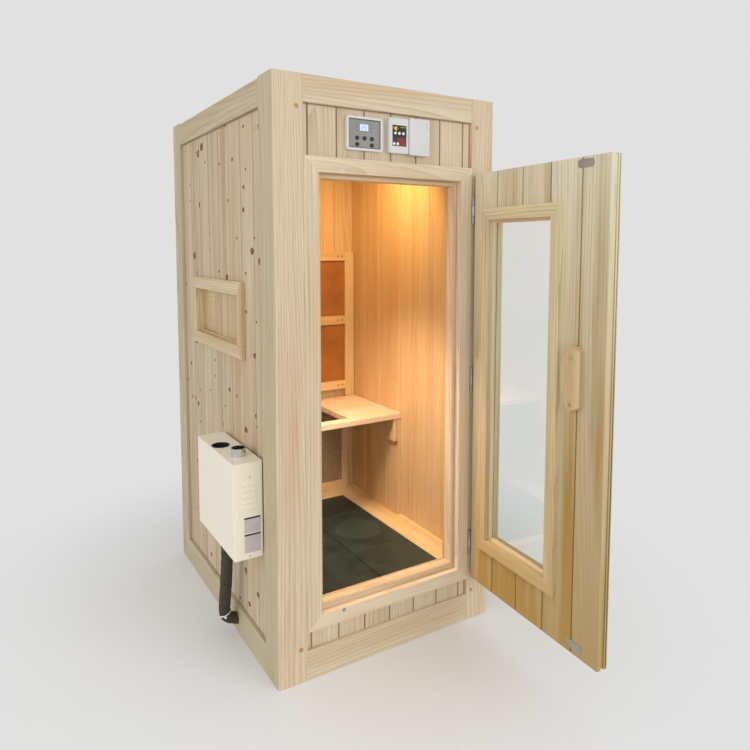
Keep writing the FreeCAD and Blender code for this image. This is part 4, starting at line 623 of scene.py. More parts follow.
# %% [markdown]
# ## Wood on the open door
# The door stands open at rest, turned 86 degrees on its hinges, so its boards lie askew to the
# room. A Mapping node set to Texture undoes that turn: inside it the leaf is flat, its width
# runs from the hinge outwards, and the same wood pattern can be used with the leaf's own sizes.
# Its boards are paler at the top and warmer towards the foot.

# %% Door wood
hinge = next(joint for joint in frame["joints"] if joint["name"] == "door_hinge")
LEAF = ((*hinge["pos_m"][:2], 0.0), math.radians(180 - hinge["range_deg"][0]))
LEAF_MIDDLE = 0.022     # half the leaf's thickness: its two faces are two sets of boards
DOOR_BOARD = 0.127
DOOR_BOARD_START = 0.006
DOOR_WOOD = ("#f4f0d6", "#b09a66", "#b8934c")
OPENING = ((0.101, 0.401), (0.352, 1.477))  # the window: run from the hinge, and height
WINDOW_TRIM = 0.041


def round_window(outside):
    """The lines where a frame turns, whose corners lie so far outside the window's."""
    (left, right), (low, high) = OPENING
    return ring_of((left, 0, low), (right, 0, high), "XZ", -outside)


# flat-sawn boards: yellow tan, darker and warmer towards the foot, with painted groove shade
# between them
finish(softwood("door board pine", DOOR_WOOD, turned=LEAF,
                start=(DOOR_BOARD_START, LEAF_MIDDLE, 0), pitch=(DOOR_BOARD, SIDES, WHOLE),
                seam="X", foot=1.7), "door_boards")
finish(softwood("door core pine", DOOR_WOOD, turned=LEAF, foot=1.7), "door_core")
# moulded trim round the pane, a shade deeper than the boards
(_, middle_run, _), (_, middle_height, _) = round_window(0)
window_middle = (middle_run, LEAF_MIDDLE, middle_height)
finish(softwood("window frame pine", ("#e8deb8", "#a98d56", "#cbb07a"), turned=LEAF,
                start=window_middle, pitch=(SIDES, SIDES, SIDES), foot=1.1,
                joint=round_window(WINDOW_TRIM)), "door_window_frame")
# a grip that hands have warmed: pinker, with a soft figure
finish(softwood("handle pine", ("#dfc99f", "#ad8655", "#d5b587"), turned=LEAF,
                start=(0, LEAF_MIDDLE, 0), figure=0.7), "door_handles")
print(len(finishes), "nodes have a wood finish, leaf turned",
      round(math.degrees(LEAF[1])), "degrees")

# %% [markdown]
# ## Smooth finishes
# Paint, moulded plastic, rubber and metal look alike in one way: they are even, but never quite.
# Each gets a slight drift of colour, a roughness that wanders where hands and cloths have
# polished it, and a bump at the scale of its own making: orange peel in sprayed paint, a fine
# spark pattern in moulded plastic, brush lines in metal.

# %% Paint, plastic, rubber and metal
def even_finish(name, light, dark, rough, grain_mm, depth_mm, drift_mm=60.0, stretch=(1, 1, 1),
                **shader):
    """A smooth finish with a little drift in its colour, gloss and surface."""
    material, tree = new_material(name)
    place = add(tree, "TexCoord").outputs["Object"]
    drift = add(tree, "TexNoise", {"Vector": place, "Scale": 1000 / drift_mm, "Detail": 3.0})
    grain_place = add(tree, "VectorMath", {0: place, 1: stretch}, operation="MULTIPLY")
    grain = add(tree, "TexNoise", {"Vector": grain_place, "Scale": 1000 / grain_mm,
                                   "Detail": 2.0})
    mixed = add(tree, "Math", {0: grain.outputs[0], 1: 0.4}, operation="MULTIPLY")
    mixed = add(tree, "Math", {0: drift.outputs[0], 1: 0.6, 2: mixed}, operation="MULTIPLY_ADD")
    spread = add(tree, "MapRange", {"Value": mixed, "From Min": 0.3, "From Max": 0.7})
    colour = add(tree, "Mix", {0: spread, 6: linear(light), 7: linear(dark)},
                 data_type="RGBA").outputs[2]
    gloss = add(tree, "MapRange", {"Value": mixed, "From Min": 0.3, "From Max": 0.7,
                                   "To Min": rough * 0.85, "To Max": min(1.0, rough * 1.2)})
    bump = add(tree, "Bump", {"Strength": 0.4, "Distance": depth_mm / 1000,
                              "Height": grain.outputs[0]})
    skin = add(tree, "BsdfPrincipled", {"Base Color": colour, "Roughness": gloss, **shader})
    finish_material(tree, skin, bump)
    return material


# baked paint: a wide soft highlight, broken by a trace of orange peel
boiler_paint = even_finish("cream powder coat", "#f7f0de", "#f3ebd6", 0.42, 2.2, 0.05)
# polished metal mirrors the room, and a slight haze keeps the mirror from being perfect
chrome = even_finish("bright chrome", "#e2e3e4", "#cfd1d3", 0.16, 6.0, 0.02, Metallic=1.0)
# a zinc coat is greyer, with a clouded shine
zinc = even_finish("zinc-plated steel", "#c9cac8", "#a9aaa7", 0.36, 3.0, 0.03, Metallic=1.0)
# brush lines run level, so the light spreads up and down
brushed = even_finish("brushed steel", "#bdbcb6", "#a3a29b", 0.32, 3.0, 0.04,
                      stretch=(0.15, 0.15, 1), Metallic=1.0)
dull_steel = even_finish("dull hinge steel", "#b4b3ab", "#9c9b93", 0.45, 3.0, 0.04,
                         stretch=(0.3, 0.3, 1), Metallic=1.0)
# open pores swallow the light: no gloss, and a pitted skin
foam_rubber = even_finish("black foam rubber", "#4e4636", "#2e291f", 0.75, 2.5, 0.35,
                          drift_mm=14.0)
# moulded rubber is nearly matt and very even
black_rubber = even_finish("black rubber", "#24231f", "#171614", 0.6, 2.0, 0.06)
pale_seal = even_finish("pale silicone seal", "#dccaa8", "#cdb992", 0.6, 3.0, 0.05)
# moulded plastic keeps the fine sparks of its mould: a tight but softened highlight
white_abs = even_finish("white ABS", "#d9dbdc", "#d0d2d4", 0.38, 1.6, 0.02)
grey_abs = even_finish("grey silk plastic face", "#94938e", "#888783", 0.46, 1.2, 0.03)
black_abs = even_finish("black ABS", "#1e1c1b", "#141312", 0.5, 1.5, 0.03)
white_button = even_finish("white button ABS", "#f4f5f5", "#e9eaea", 0.35, 1.5, 0.02)

finish(boiler_paint, "boiler_case", "boiler_cover")
finish(chrome, "boiler_collar")
finish(brushed, "boiler_tank")
finish(zinc, "door_hardware")
finish(dull_steel, "door_hardware_fixed")
finish(pale_seal, "door_seal")
finish(white_abs, "control_a_frame", "control_b_case", "control_b_cover")
finish(grey_abs, "control_a_face")
finish(black_abs, *(f"button_a_{n}" for n in range(1, 6)))
finish(white_button, *(f"button_b_{n}" for n in range(1, 6)))
finish(foam_rubber, "boiler_hose")
print(len(finishes), "nodes have a finish so far")

# %% [markdown]
# ## Floor tiles
# The tiles are pressed from fired clay, greenish slate in colour. Each pattern of raised rings
# stops wet feet from slipping. A ring is a wave of the distance from the pattern's middle, and a
# weaker wave round that middle beads its edge. The rings are coloured a shade paler.

# %% Floor tiles
RING_MIDDLES = ((-0.125, -0.0875, 0.0), (0.125, -0.0875, 0.0))
RING_STEP = 0.0165
RING_BEADS = 24.0
RINGS_REACH = 0.099
RINGS_FADE = 0.002

# matt clay keeps a cool dark tone even under the warm lamp
material, tree = new_material("matt slate-green ceramic tile")
place = add(tree, "TexCoord").outputs["Object"]
speckle = add(tree, "TexNoise", {"Vector": place, "Scale": 520.0, "Detail": 2.0}).outputs[0]
cloud = add(tree, "TexNoise", {"Vector": place, "Scale": 14.0, "Detail": 3.0}).outputs[0]
mixed = add(tree, "Math", {0: speckle, 1: 0.45, 2: cloud}, operation="MULTIPLY_ADD")
spread = add(tree, "MapRange", {"Value": mixed, "From Min": 0.5, "From Max": 0.95})
colour = add(tree, "Mix", {0: spread, 6: linear("#22312e"), 7: linear("#31423f")},
             data_type="RGBA").outputs[2]
rough = add(tree, "MapRange", {"Value": mixed, "From Min": 0.5, "From Max": 0.95,
                               "To Min": 0.32, "To Max": 0.5})
raised = 0.0
for middle in RING_MIDDLES:
    off = add(tree, "VectorMath", {0: place, 1: middle}, operation="SUBTRACT")
    off = add(tree, "VectorMath", {0: off, 1: (1, 1, 0)}, operation="MULTIPLY")
    reach = add(tree, "VectorMath", {0: off}, operation="LENGTH").outputs["Value"]
    wave = add(tree, "Math", {0: reach, 1: math.tau / RING_STEP}, operation="MULTIPLY")
    wave = add(tree, "Math", {0: wave}, operation="SINE")
    parts = add(tree, "SeparateXYZ", {0: off})
    turn = add(tree, "Math", {0: parts.outputs[1], 1: parts.outputs[0]}, operation="ARCTAN2")
    turn = add(tree, "Math", {0: turn, 1: RING_BEADS}, operation="MULTIPLY")
    turn = add(tree, "Math", {0: turn}, operation="SINE")
    wave = add(tree, "Math", {0: turn, 1: 0.35, 2: wave}, operation="MULTIPLY_ADD")
    inside = add(tree, "MapRange", {"Value": reach, "From Min": RINGS_REACH + RINGS_FADE,
                                    "From Max": RINGS_REACH - RINGS_FADE})
    wave = add(tree, "MapRange", {"Value": wave, "From Min": -0.2, "From Max": 0.5})
    wave = add(tree, "Math", {0: wave, 1: inside}, operation="MULTIPLY")
    raised = add(tree, "Math", {0: wave, 1: raised})
worn = add(tree, "Math", {0: raised, 1: 0.30}, operation="MULTIPLY")
colour = add(tree, "Mix", {0: worn, 6: colour, 7: linear("#5a7068")},
             data_type="RGBA").outputs[2]
height = add(tree, "Math", {0: raised, 1: 3.0, 2: speckle}, operation="MULTIPLY_ADD")
bump = add(tree, "Bump", {"Strength": 0.3, "Distance": 0.0003, "Height": height})
finish_material(tree, add(tree, "BsdfPrincipled", {"Base Color": colour, "Roughness": rough}),
                bump)
finish(material, "floor_tiles")
print("rings reach", RINGS_REACH, "m from the middle of each pattern")

# %% [markdown]
# ## Heaters
# The back heaters are sheets of carbon film under a copper-brown woven cover, and the leg heater
# hides behind perforated steel. A weave is two sets of bands multiplied, and a perforated sheet
# is the distance to the middle of each square of a grid. Both are finer on a real heater, where
# threads lie a millimetre apart and holes four, and are drawn coarser so that they show.

# %% Woven heater cover
WEAVE_MM = 5.0
WAVE_MM = 314           # between the bands of a wave texture of scale one

# threads break the light up: matt, warm, with a dotted sheen
material, tree = new_material("copper-brown woven heater cover")
place = add(tree, "TexCoord").outputs["Object"]
across, up = (add(tree, "TexWave", {"Vector": place, "Scale": WAVE_MM / WEAVE_MM,
                                    "Distortion": 0.6, "Detail": 1.0},
                  bands_direction=way).outputs["Fac"] for way in "XZ")
weave = add(tree, "Math", {0: across, 1: up}, operation="MULTIPLY")
drift = add(tree, "TexNoise", {"Vector": place, "Scale": 9.0, "Detail": 3.0}).outputs[0]
mixed = add(tree, "Math", {0: weave, 1: 0.5, 2: drift}, operation="MULTIPLY_ADD")
spread = add(tree, "MapRange", {"Value": mixed, "From Min": 0.3, "From Max": 1.0})
colour = add(tree, "Mix", {0: spread, 6: linear("#8e5824"), 7: linear("#b67930")},
             data_type="RGBA").outputs[2]
bump = add(tree, "Bump", {"Strength": 0.5, "Distance": 0.0006, "Height": weave})
rough = add(tree, "MapRange", {"Value": mixed, "To Min": 0.8, "To Max": 0.65})
finish_material(tree, add(tree, "BsdfPrincipled", {"Base Color": colour, "Roughness": rough}),
                bump)
finish(material, "backrest_heaters")
print("threads", WEAVE_MM, "mm apart")

# %% Perforated heater sheet
HOLE_PITCH = 0.011
HOLE_EDGE = (0.24, 0.19)    # of the pitch: where the sheet's edge begins and ends

# rows of holes in a dull beige coat, each painted dark as painted shade for the hollow behind it
material, tree = new_material("perforated beige steel sheet")
place = add(tree, "TexCoord").outputs["Object"]
cell = add(tree, "VectorMath", {0: place, 1: (HOLE_PITCH, WHOLE, HOLE_PITCH)},
           operation="DIVIDE")
cell = add(tree, "VectorMath", {0: cell}, operation="FRACTION")
cell = add(tree, "VectorMath", {0: cell, 1: (0.5, 0.5, 0.5)}, operation="SUBTRACT")
cell = add(tree, "VectorMath", {0: cell, 1: (1, 0, 1)}, operation="MULTIPLY")
cell = add(tree, "VectorMath", {0: cell}, operation="LENGTH").outputs["Value"]
hole = add(tree, "MapRange", {"Value": cell, "From Min": HOLE_EDGE[0], "From Max": HOLE_EDGE[1]},
           interpolation_type="SMOOTHSTEP")
drift = add(tree, "TexNoise", {"Vector": place, "Scale": 30.0, "Detail": 3.0}).outputs[0]
sheet = add(tree, "Mix", {0: drift, 6: linear("#a89878"), 7: linear("#8f7f62")},
            data_type="RGBA").outputs[2]
colour = add(tree, "Mix", {0: hole, 6: sheet, 7: linear("#3a2c1e")},
             data_type="RGBA").outputs[2]
rough = add(tree, "MapRange", {"Value": drift, "To Min": 0.35, "To Max": 0.6})
sink = add(tree, "Math", {0: 1.0, 1: hole}, operation="SUBTRACT")
bump = add(tree, "Bump", {"Strength": 0.8, "Distance": 0.001, "Height": sink})
finish_material(tree, add(tree, "BsdfPrincipled", {"Base Color": colour, "Roughness": rough}),
                bump)
finish(material, "leg_heater_grille")
print("holes", 1000 * HOLE_PITCH, "mm apart")

# %% [markdown]
# ## Clear and smoked windows
# The door's pane is float glass: a full transmission shader with a trace of ripple. Panel B's
# window is smoked acrylic, so dark that an opaque gloss does the same. Its lower part is backed
# with a red film, which shows only faintly on the left.

# %% Window glass and the smoked display window
# the faint green of thick glass, and a mirror that wavers a little
material, tree = new_material("clear float glass")
place = add(tree, "TexCoord").outputs["Object"]
ripple = add(tree, "TexNoise", {"Vector": place, "Scale": 5.0, "Detail": 1.0}).outputs[0]
bump = add(tree, "Bump", {"Strength": 0.05, "Distance": 0.0005, "Height": ripple})
smear = add(tree, "MapRange", {"Value": ripple, "To Min": 0.0, "To Max": 0.03})
tint = add(tree, "Mix", {0: ripple, 6: linear("#fbfefc"), 7: linear("#f4faf7")},
           data_type="RGBA").outputs[2]
finish_material(tree, add(tree, "BsdfPrincipled",
                          {"Base Color": tint, "Roughness": smear, "IOR": 1.45,
                           "Transmission Weight": 1.0}), bump)
finish(material, "door_glass")

window_low, window_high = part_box("control_b_window")
FILM_CORNER = (0.0205, 0.0275)  # where full red begins and ends, from the lower left corner
FILM_BLUR = 0.0005
film_left, film_top = window_low.x + FILM_CORNER[0], window_low.z + FILM_CORNER[1]

# almost black, and its gloss alone tells that it is a window
material, tree = new_material("smoked acrylic display window")
place = add(tree, "TexCoord").outputs["Object"]
haze = add(tree, "TexNoise", {"Vector": place, "Scale": 70.0, "Detail": 1.0}).outputs[0]
axes = add(tree, "SeparateXYZ", {0: place}).outputs
low = add(tree, "MapRange", {"Value": axes[2], "From Min": film_top + FILM_BLUR,
                             "From Max": film_top - FILM_BLUR})
right = add(tree, "MapRange", {"Value": axes[0], "From Min": film_left - FILM_BLUR,
                               "From Max": film_left + FILM_BLUR, "To Min": 0.25})
red = add(tree, "Math", {0: low, 1: right}, operation="MULTIPLY")
black = add(tree, "Mix", {0: haze, 6: linear("#1a1414"), 7: linear("#0f0c0c")},
            data_type="RGBA").outputs[2]
colour = add(tree, "Mix", {0: red, 6: black, 7: linear("#7d1f26")}, data_type="RGBA").outputs[2]
gloss = add(tree, "MapRange", {"Value": haze, "To Min": 0.12, "To Max": 0.22})
bump = add(tree, "Bump", {"Strength": 0.05, "Distance": 0.0002, "Height": haze})
finish_material(tree, add(tree, "BsdfPrincipled", {"Base Color": colour, "Roughness": gloss,
                                                   "Specular IOR Level": 0.25}), bump)
finish(material, "control_b_window")
print("full red film from x", round(film_left, 4), "up to z", round(film_top, 4))

# %% [markdown]
# ## The lamp
# The bulb glows, but it is small, and a small bright thing leaves a picture full of specks. A
# soft panel under the ceiling does the lighting instead, and a smaller one just inside the
# doorway stands for the light that the walls throw back. Neither lights the studio floor.

# %% Warm bulb
# frosted glass spreads its glow evenly over the whole bulb
material, tree = new_material("frosted warm bulb glass")
place = add(tree, "TexCoord").outputs["Object"]
frost = add(tree, "TexNoise", {"Vector": place, "Scale": 90.0, "Detail": 2.0}).outputs[0]
glow = add(tree, "Mix", {0: frost, 6: linear("#ffd9a0"), 7: linear("#ffe8c4")},
           data_type="RGBA").outputs[2]
bump = add(tree, "Bump", {"Strength": 0.2, "Distance": 0.0004, "Height": frost})
finish_material(tree, add(tree, "BsdfPrincipled",
                          {"Base Color": glow, "Roughness": 0.6, "Emission Color": glow,
                           "Emission Strength": 6.0}), bump)
finish(material, "lamp_bulb")

lamp = soft_panel("cabin_lamp", (0.12, -0.14, 1.76), (0.10, 0.28, 0.6), 0.34, 4.9,
                  tint="#ffd08a", spread=160)
inner = soft_panel("doorway_panel", (-0.16, -0.33, 1.27), (0.34, -0.08, 0), 0.24, 3.1,
                   tint="#ffe0c6", spread=100)
off_floor = bpy.data.collections.new("kept_off")
off_floor.objects.link(floor)
off_floor.collection_objects[0].light_linking.link_state = "EXCLUDE"
for light in (lamp, inner):
    light.light_linking.receiver_collection = off_floor
print("nodes still without a finish:", sorted(set(nodes) - set(finishes)))

# %% [markdown]
# ## The steam hose
# Steam leaves the boiler through a stiff hose in a thick black foam sleeve. It drops straight out
# of the boiler's floor, leans back a little and turns into the foot of the wall. Its line is one
# smooth spline through a few chosen points. The sleeve is then a tube of rings set along that
# line, whose radius swells and creases a little, as foam does when it is pulled over a hose.

# %% Line of the hose
HOSE_RADIUS = 0.021
HOSE_STOPS = [(-0.4715, -0.213, 0.395), (-0.4715, -0.213, 0.292), (-0.4715, -0.1905, 0.182),
              (-0.476, -0.168, 0.040), (-0.372, -0.168, 0.048)]

line_data = bpy.data.curves.new("hose_line", "CURVE")
line_data.dimensions = "3D"
line_data.resolution_u = 24
spline = line_data.splines.new("NURBS")
spline.points.add(len(HOSE_STOPS) - 1)
for point, stop in zip(spline.points, HOSE_STOPS):
    point.co = (*stop, 1.0)
spline.order_u = 3
spline.use_endpoint_u = True
line_object = bpy.data.objects.new("hose_line", line_data)
line_mesh = bpy.data.meshes.new_from_object(line_object)
hose_line = [v.co.copy() for v in line_mesh.vertices]
bpy.data.objects.remove(line_object)
bpy.data.meshes.remove(line_mesh)
hose_length = sum((b - a).length for a, b in zip(hose_line, hose_line[1:]))
print("hose line of", len(hose_line), "points,", round(hose_length, 4), "m")


def line_frame(index):
    """The hose line's point, direction and two sideways directions at an index."""
    before = hose_line[max(index - 1, 0)]
    after = hose_line[min(index + 1, len(hose_line) - 1)]
    along = (after - before).normalized()
    side = along.cross(Vector((0, 1, 0))).normalized()
    return hose_line[index], along, side, side.cross(along)


# %% [markdown]
# ## Tools of the bench
# Every added piece is made in the same few moves: start from a primitive, choose faces, pull or
# inset them, and settle the piece under its name, body and finish. Each move is one short
# function that calls Blender's own operators.

# %% Modelling helpers
FORWARDS = (math.radians(90), 0, 0)     # the turn that stands a flat thing up, facing the front


def pick(*pieces):
    """Select these pieces and nothing else, the first one active."""
    bpy.ops.object.select_all(action="DESELECT")
    for piece in pieces:
        piece.select_set(True)
    if pieces:
        bpy.context.view_layer.objects.active = pieces[0]


def start_from(primitive, stretch=(1, 1, 1), place=(0, 0, 0), turn=(0, 0, 0), **settings):
    """A primitive at its place, stretched, with both held in its mesh."""
    pick()
    primitive(location=place, rotation=turn, **settings)
    piece = bpy.context.object
    piece.scale = stretch
    bpy.ops.object.transform_apply(location=True, rotation=True, scale=True)
    return piece


def settle(piece, name, material, body, slot):
    """Put a piece's place into its mesh, name it, and give it its finish and its body."""
    pick(piece)
    bpy.ops.object.transform_apply(location=True, rotation=True, scale=True)
    piece.name = piece.data.name = name
    if not piece.data.materials:
        piece.data.materials.append(material)
    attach(piece, body)
    return piece


def object_mode():
    """Leave edit mode."""
    bpy.ops.object.mode_set(mode="OBJECT")


def shape(piece, selected="NONE", mode="FACE"):
    """Enter edit mode on one piece with NONE or ALL of it selected."""
    pick(piece)
    bpy.ops.object.mode_set(mode="EDIT")
    bpy.ops.mesh.select_mode(type=mode)
    bpy.ops.mesh.select_all(action="SELECT" if selected == "ALL" else "DESELECT")


def choose(piece, test):
    """Select the faces that pass a test on their centre and normal."""
    object_mode()
    for face in piece.data.polygons:
        face.select = test(face.center, face.normal)
    bpy.ops.object.mode_set(mode="EDIT")


def pull(*way):
    """Pull what is selected out by a vector, with new faces behind it."""
    bpy.ops.mesh.extrude_region_move(TRANSFORM_OT_translate={"value": way})


def face_outwards():
    """Turn every face of the shaped piece outwards and leave edit mode."""
    bpy.ops.mesh.select_all(action="SELECT")
    bpy.ops.mesh.normals_make_consistent(inside=False)
    object_mode()


def modified(piece, kind, **settings):
    """Give a piece one modifier and apply it."""
    pick(piece)
    change = piece.modifiers.new(kind, kind)
    for name, setting in settings.items():
        setattr(change, name, setting)
    bpy.ops.object.modifier_apply(modifier=kind)


def soften(piece, width, segments=2):
    """Round the sharp edges of a piece."""
    modified(piece, "BEVEL", width=width, segments=segments, limit_method="ANGLE")


def smooth(degrees):
    """Shade the active piece smoothly, except across edges sharper than an angle."""
    bpy.ops.object.shade_smooth_by_angle(angle=math.radians(degrees))


def joined(pieces):
    """Join finished pieces into the first one."""
    pick(*pieces)
    bpy.ops.object.join()
    return pieces[0]


def put_copy(model, place, rotation=(0, 0, 0), scale=1.0):
    """A copy of a model with its own mesh, moved and turned."""
    copy = model.copy()
    copy.data = model.data.copy()
    copy.location = place
    copy.rotation_euler = rotation
    copy.scale = (scale, scale, scale)
    bpy.context.scene.collection.objects.link(copy)
    pick(copy)
    bpy.ops.object.transform_apply(location=True, rotation=True, scale=True)
    return copy


print("ready to model in", bpy.context.mode, "mode")

# %% [markdown]
# ## Foam sleeve
# Foam creases where it was bent or squeezed. Each crease is a narrow dip in the radius, deeper on
# one side than on the other and slightly aslant, and a slow noise swells the foam in between.

# %% Foam sleeve
SLEEVE_RINGS = 110
SLEEVE_SIDES = 28
SLEEVE_SLACK = 0.985    # of the hose's radius, which leaves room for the swelling
SLEEVE_FULL = 1.02      # of the hose's radius, and never more
CREASE_DEEP = 0.0017
CREASE_WIDE = 0.0042
CREASE_SLANT = 0.004
SWELL_HIGH = 0.0011
SWELLS_PER_M = 38
SWELLS_ROUND = 2.2
CREASES = [(0.020, 0.4), (0.058, 2.1), (0.083, 4.4), (0.127, 1.2), (0.150, 5.2), (0.196, 3.3),
           (0.222, 0.2), (0.262, 2.7), (0.291, 4.9), (0.318, 1.7), (0.352, 3.9)]


def sleeve_radius(run, angle):
    """The sleeve's radius at a run along the line, creased and swollen like foam."""
    radius = HOSE_RADIUS * SLEEVE_SLACK
    for place, turn in CREASES:
        off = (run - place - CREASE_SLANT * math.cos(angle - turn)) / CREASE_WIDE
        radius -= CREASE_DEEP * math.exp(-off * off) * (0.55 + 0.45 * math.cos(angle - turn))
    swell = noise.noise(Vector((SWELLS_ROUND * math.cos(angle), SWELLS_ROUND * math.sin(angle),
                                run * SWELLS_PER_M)))
    return min(radius + SWELL_HIGH * swell, HOSE_RADIUS * SLEEVE_FULL)


sleeve = start_from(bpy.ops.mesh.primitive_circle_add, vertices=SLEEVE_SIDES,
                    radius=HOSE_RADIUS, fill_type="NGON")
shape(sleeve, "ALL")
for ring in range(SLEEVE_RINGS):
    pull(0, 0, 0.001)
object_mode()
walked = [0.0]
for before, after in zip(hose_line, hose_line[1:]):
    walked.append(walked[-1] + (after - before).length)
for ring in range(SLEEVE_RINGS + 1):
    run = hose_length * ring / SLEEVE_RINGS
    index = min(range(len(walked)), key=lambda i: abs(walked[i] - run))
    if walked[index] > run and index:
        index -= 1
    index = min(index, len(hose_line) - 2)
    share = (run - walked[index]) / (walked[index + 1] - walked[index])
    centre = hose_line[index].lerp(hose_line[index + 1], share)
    _, along, side, front = line_frame(index + round(share))
    for corner in range(SLEEVE_SIDES):
        angle = math.tau * corner / SLEEVE_SIDES
        out = side * math.cos(angle) + front * math.sin(angle)
        sleeve.data.vertices[ring * SLEEVE_SIDES + corner].co = (
            centre + out * sleeve_radius(run, angle))
shape(sleeve)
face_outwards()
smooth(60)
settle(sleeve, "hose_sleeve", foam_rubber, "cabin", "black_rubber")
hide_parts("boiler_hose")
print("sleeve of", len(sleeve.data.polygons), "faces")

# %% [markdown]
# ## Cable tie
# A tie is a flat strap drawn tight through a small head. The strap is an open cylinder with its
# wall from Solidify, and the head a cube whose outer face is inset and drawn in a little.

# %% Cable tie round the sleeve
TIE_PLACE = 0.74            # of the hose's length
TIE_RADIUS = 0.0208
TIE_WIDE = 0.0046
TIE_THICK = 0.0012
TIE_HEAD = (0.0072, 0.0044, 0.0064)
TIE_HEAD_OUT = 0.0232

place, along, side, front = line_frame(round(TIE_PLACE * (len(hose_line) - 1)))
turn = Matrix((side, front, along)).transposed().to_euler()
tie = start_from(bpy.ops.mesh.primitive_cylinder_add, place=place, turn=turn, vertices=40,
                 radius=TIE_RADIUS, depth=TIE_WIDE, end_fill_type="NOTHING")
modified(tie, "SOLIDIFY", thickness=TIE_THICK, offset=1.0)
out = (-side * 0.3 - front * 0.9).normalized()
head_turn = Matrix((along.cross(out).normalized(), out, along)).transposed()
tie_head = start_from(bpy.ops.mesh.primitive_cube_add, TIE_HEAD, place + out * TIE_HEAD_OUT,
                      head_turn.to_euler(), size=1)
shape(tie_head)
choose(tie_head, lambda centre, normal: normal.dot(out) > 0.9)
bpy.ops.mesh.inset(thickness=0.0011)
pull(0, 0, 0)
bpy.ops.transform.resize(value=(0.8, 0.8, 0.8))
object_mode()
tie = joined([tie, tie_head])
soften(tie, 0.0003)
settle(tie, "hose_tie", white_button, "cabin", "white_plastic")

print("hose declared,", round(hose_length, 3), "m long")

# %% [markdown]
# ## Small fittings
# Screws, plates and digits are too small for the solid model, and they are what makes a cabin
# look assembled. One pan-head screw is modelled with its cross recess, cut by two crossed bars
# with a Boolean modifier. Every other screw is a copy with its own mesh, turned and moved to its
# place.

# %% One pan-head screw
SCREW_RADIUS = 0.0032
SCREW_EDGE = 0.0012
SCREW_CROWN = 0.0005
SCREW_RECESS = (0.0034, 0.0007, 0.0012)
RECESS_HEIGHT = 0.0016      # of its middle, so that its floor lies inside the head

screw = start_from(bpy.ops.mesh.primitive_cylinder_add, place=(0, 0, SCREW_EDGE / 2),
                   vertices=24, radius=SCREW_RADIUS, depth=SCREW_EDGE)
shape(screw)
choose(screw, lambda centre, normal: normal.z > 0.9)
pull(0, 0, SCREW_CROWN)
bpy.ops.transform.resize(value=(0.72, 0.72, 1))
object_mode()
for turn in (0, math.pi / 2):
    bar = start_from(bpy.ops.mesh.primitive_cube_add, SCREW_RECESS, (0, 0, RECESS_HEIGHT),
                     (0, 0, turn), size=1)
    modified(screw, "BOOLEAN", operation="DIFFERENCE", solver="EXACT", object=bar)
    bpy.data.objects.remove(bar)
print("screw of", len(screw.data.polygons), "faces")

# %% Screws of the boiler
UPWARDS = (0, 0, 0)
COVER_PROUD = 0.0015
boiler_low, boiler_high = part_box("boiler_case")
cover_front = boiler_low.y - COVER_PROUD
places = [((-0.467, cover_front, 0.662), FORWARDS), ((-0.469, cover_front, 0.404), FORWARDS),
          ((-0.513, -0.405, boiler_high.z), UPWARDS), ((-0.513, -0.285, boiler_high.z), UPWARDS)]
boiler_screws = joined([put_copy(screw, place, turn, 0.8) for place, turn in places])
settle(boiler_screws, "boiler_screws", zinc, "cabin", "bright_metal")
print("boiler box", tuple(boiler_low), tuple(boiler_high))

# %% [markdown]
# ## Plates on the boiler
# Two thin plates are stuck on the boiler's front, each with a dark band along its top edge. They
# carry nothing here. A plate is a cube cut once across by Bisect, and the faces above the cut
# take the dark finish.

# %% Plates
PLATE_X = (-0.4870, -0.4330)
PLATE_THICK = 0.0006
PLATE_BAND = 0.0055

# printed film: a silky skin with hardly any depth
plate_film = even_finish("pale violet plate film", "#cfc8cc", "#bdb5bb", 0.4, 2.0, 0.02,
                         drift_mm=9.0)
band_ink = even_finish("dark plate band", "#37343a", "#2a282d", 0.45, 2.0, 0.02)


def plate(name, low, high):
    """A thin front plate between two heights with a dark band at its top."""
    middle = (sum(PLATE_X) / 2, cover_front - PLATE_THICK / 2, (low + high) / 2)
    made = start_from(bpy.ops.mesh.primitive_cube_add,
                      (PLATE_X[1] - PLATE_X[0], PLATE_THICK, high - low), middle, size=1)
    made.data.materials.append(plate_film)
    made.data.materials.append(band_ink)
    shape(made, "ALL")
    bpy.ops.mesh.bisect(plane_co=(0, 0, high - PLATE_BAND), plane_no=(0, 0, 1))
    object_mode()
    for face in made.data.polygons:
        face.material_index = int(face.center.z > high - PLATE_BAND)
    soften(made, 0.0002, 1)
    return settle(made, name, plate_film, "cabin", "grey_plastic")


plate("boiler_plate_upper", 0.4800, 0.5310)
plate("boiler_plate_lower", 0.4150, 0.4765)
print("plates", round(1000 * (PLATE_X[1] - PLATE_X[0])), "mm wide")

# %% [markdown]
# ## Rim of the filling hole
# The hole in the boiler's top is edged with a black rubber rim, and a short rubber neck below it
# leads the water down. The rim is a small rounded profile spun once round the hole. The neck is an
# open cylinder that gets its wall from Solidify.

# %% Rim of the filling hole
RIM_CENTRE = Vector((-0.4865, -0.212, boiler_high.z))
RIM_RADIUS = 0.0293
RIM_PROFILE = (0.0030, 0.0022)
RIM_STEPS = 40
NECK_RADIUS = 0.0276
NECK_LONG = 0.044
NECK_DOWN = 0.021

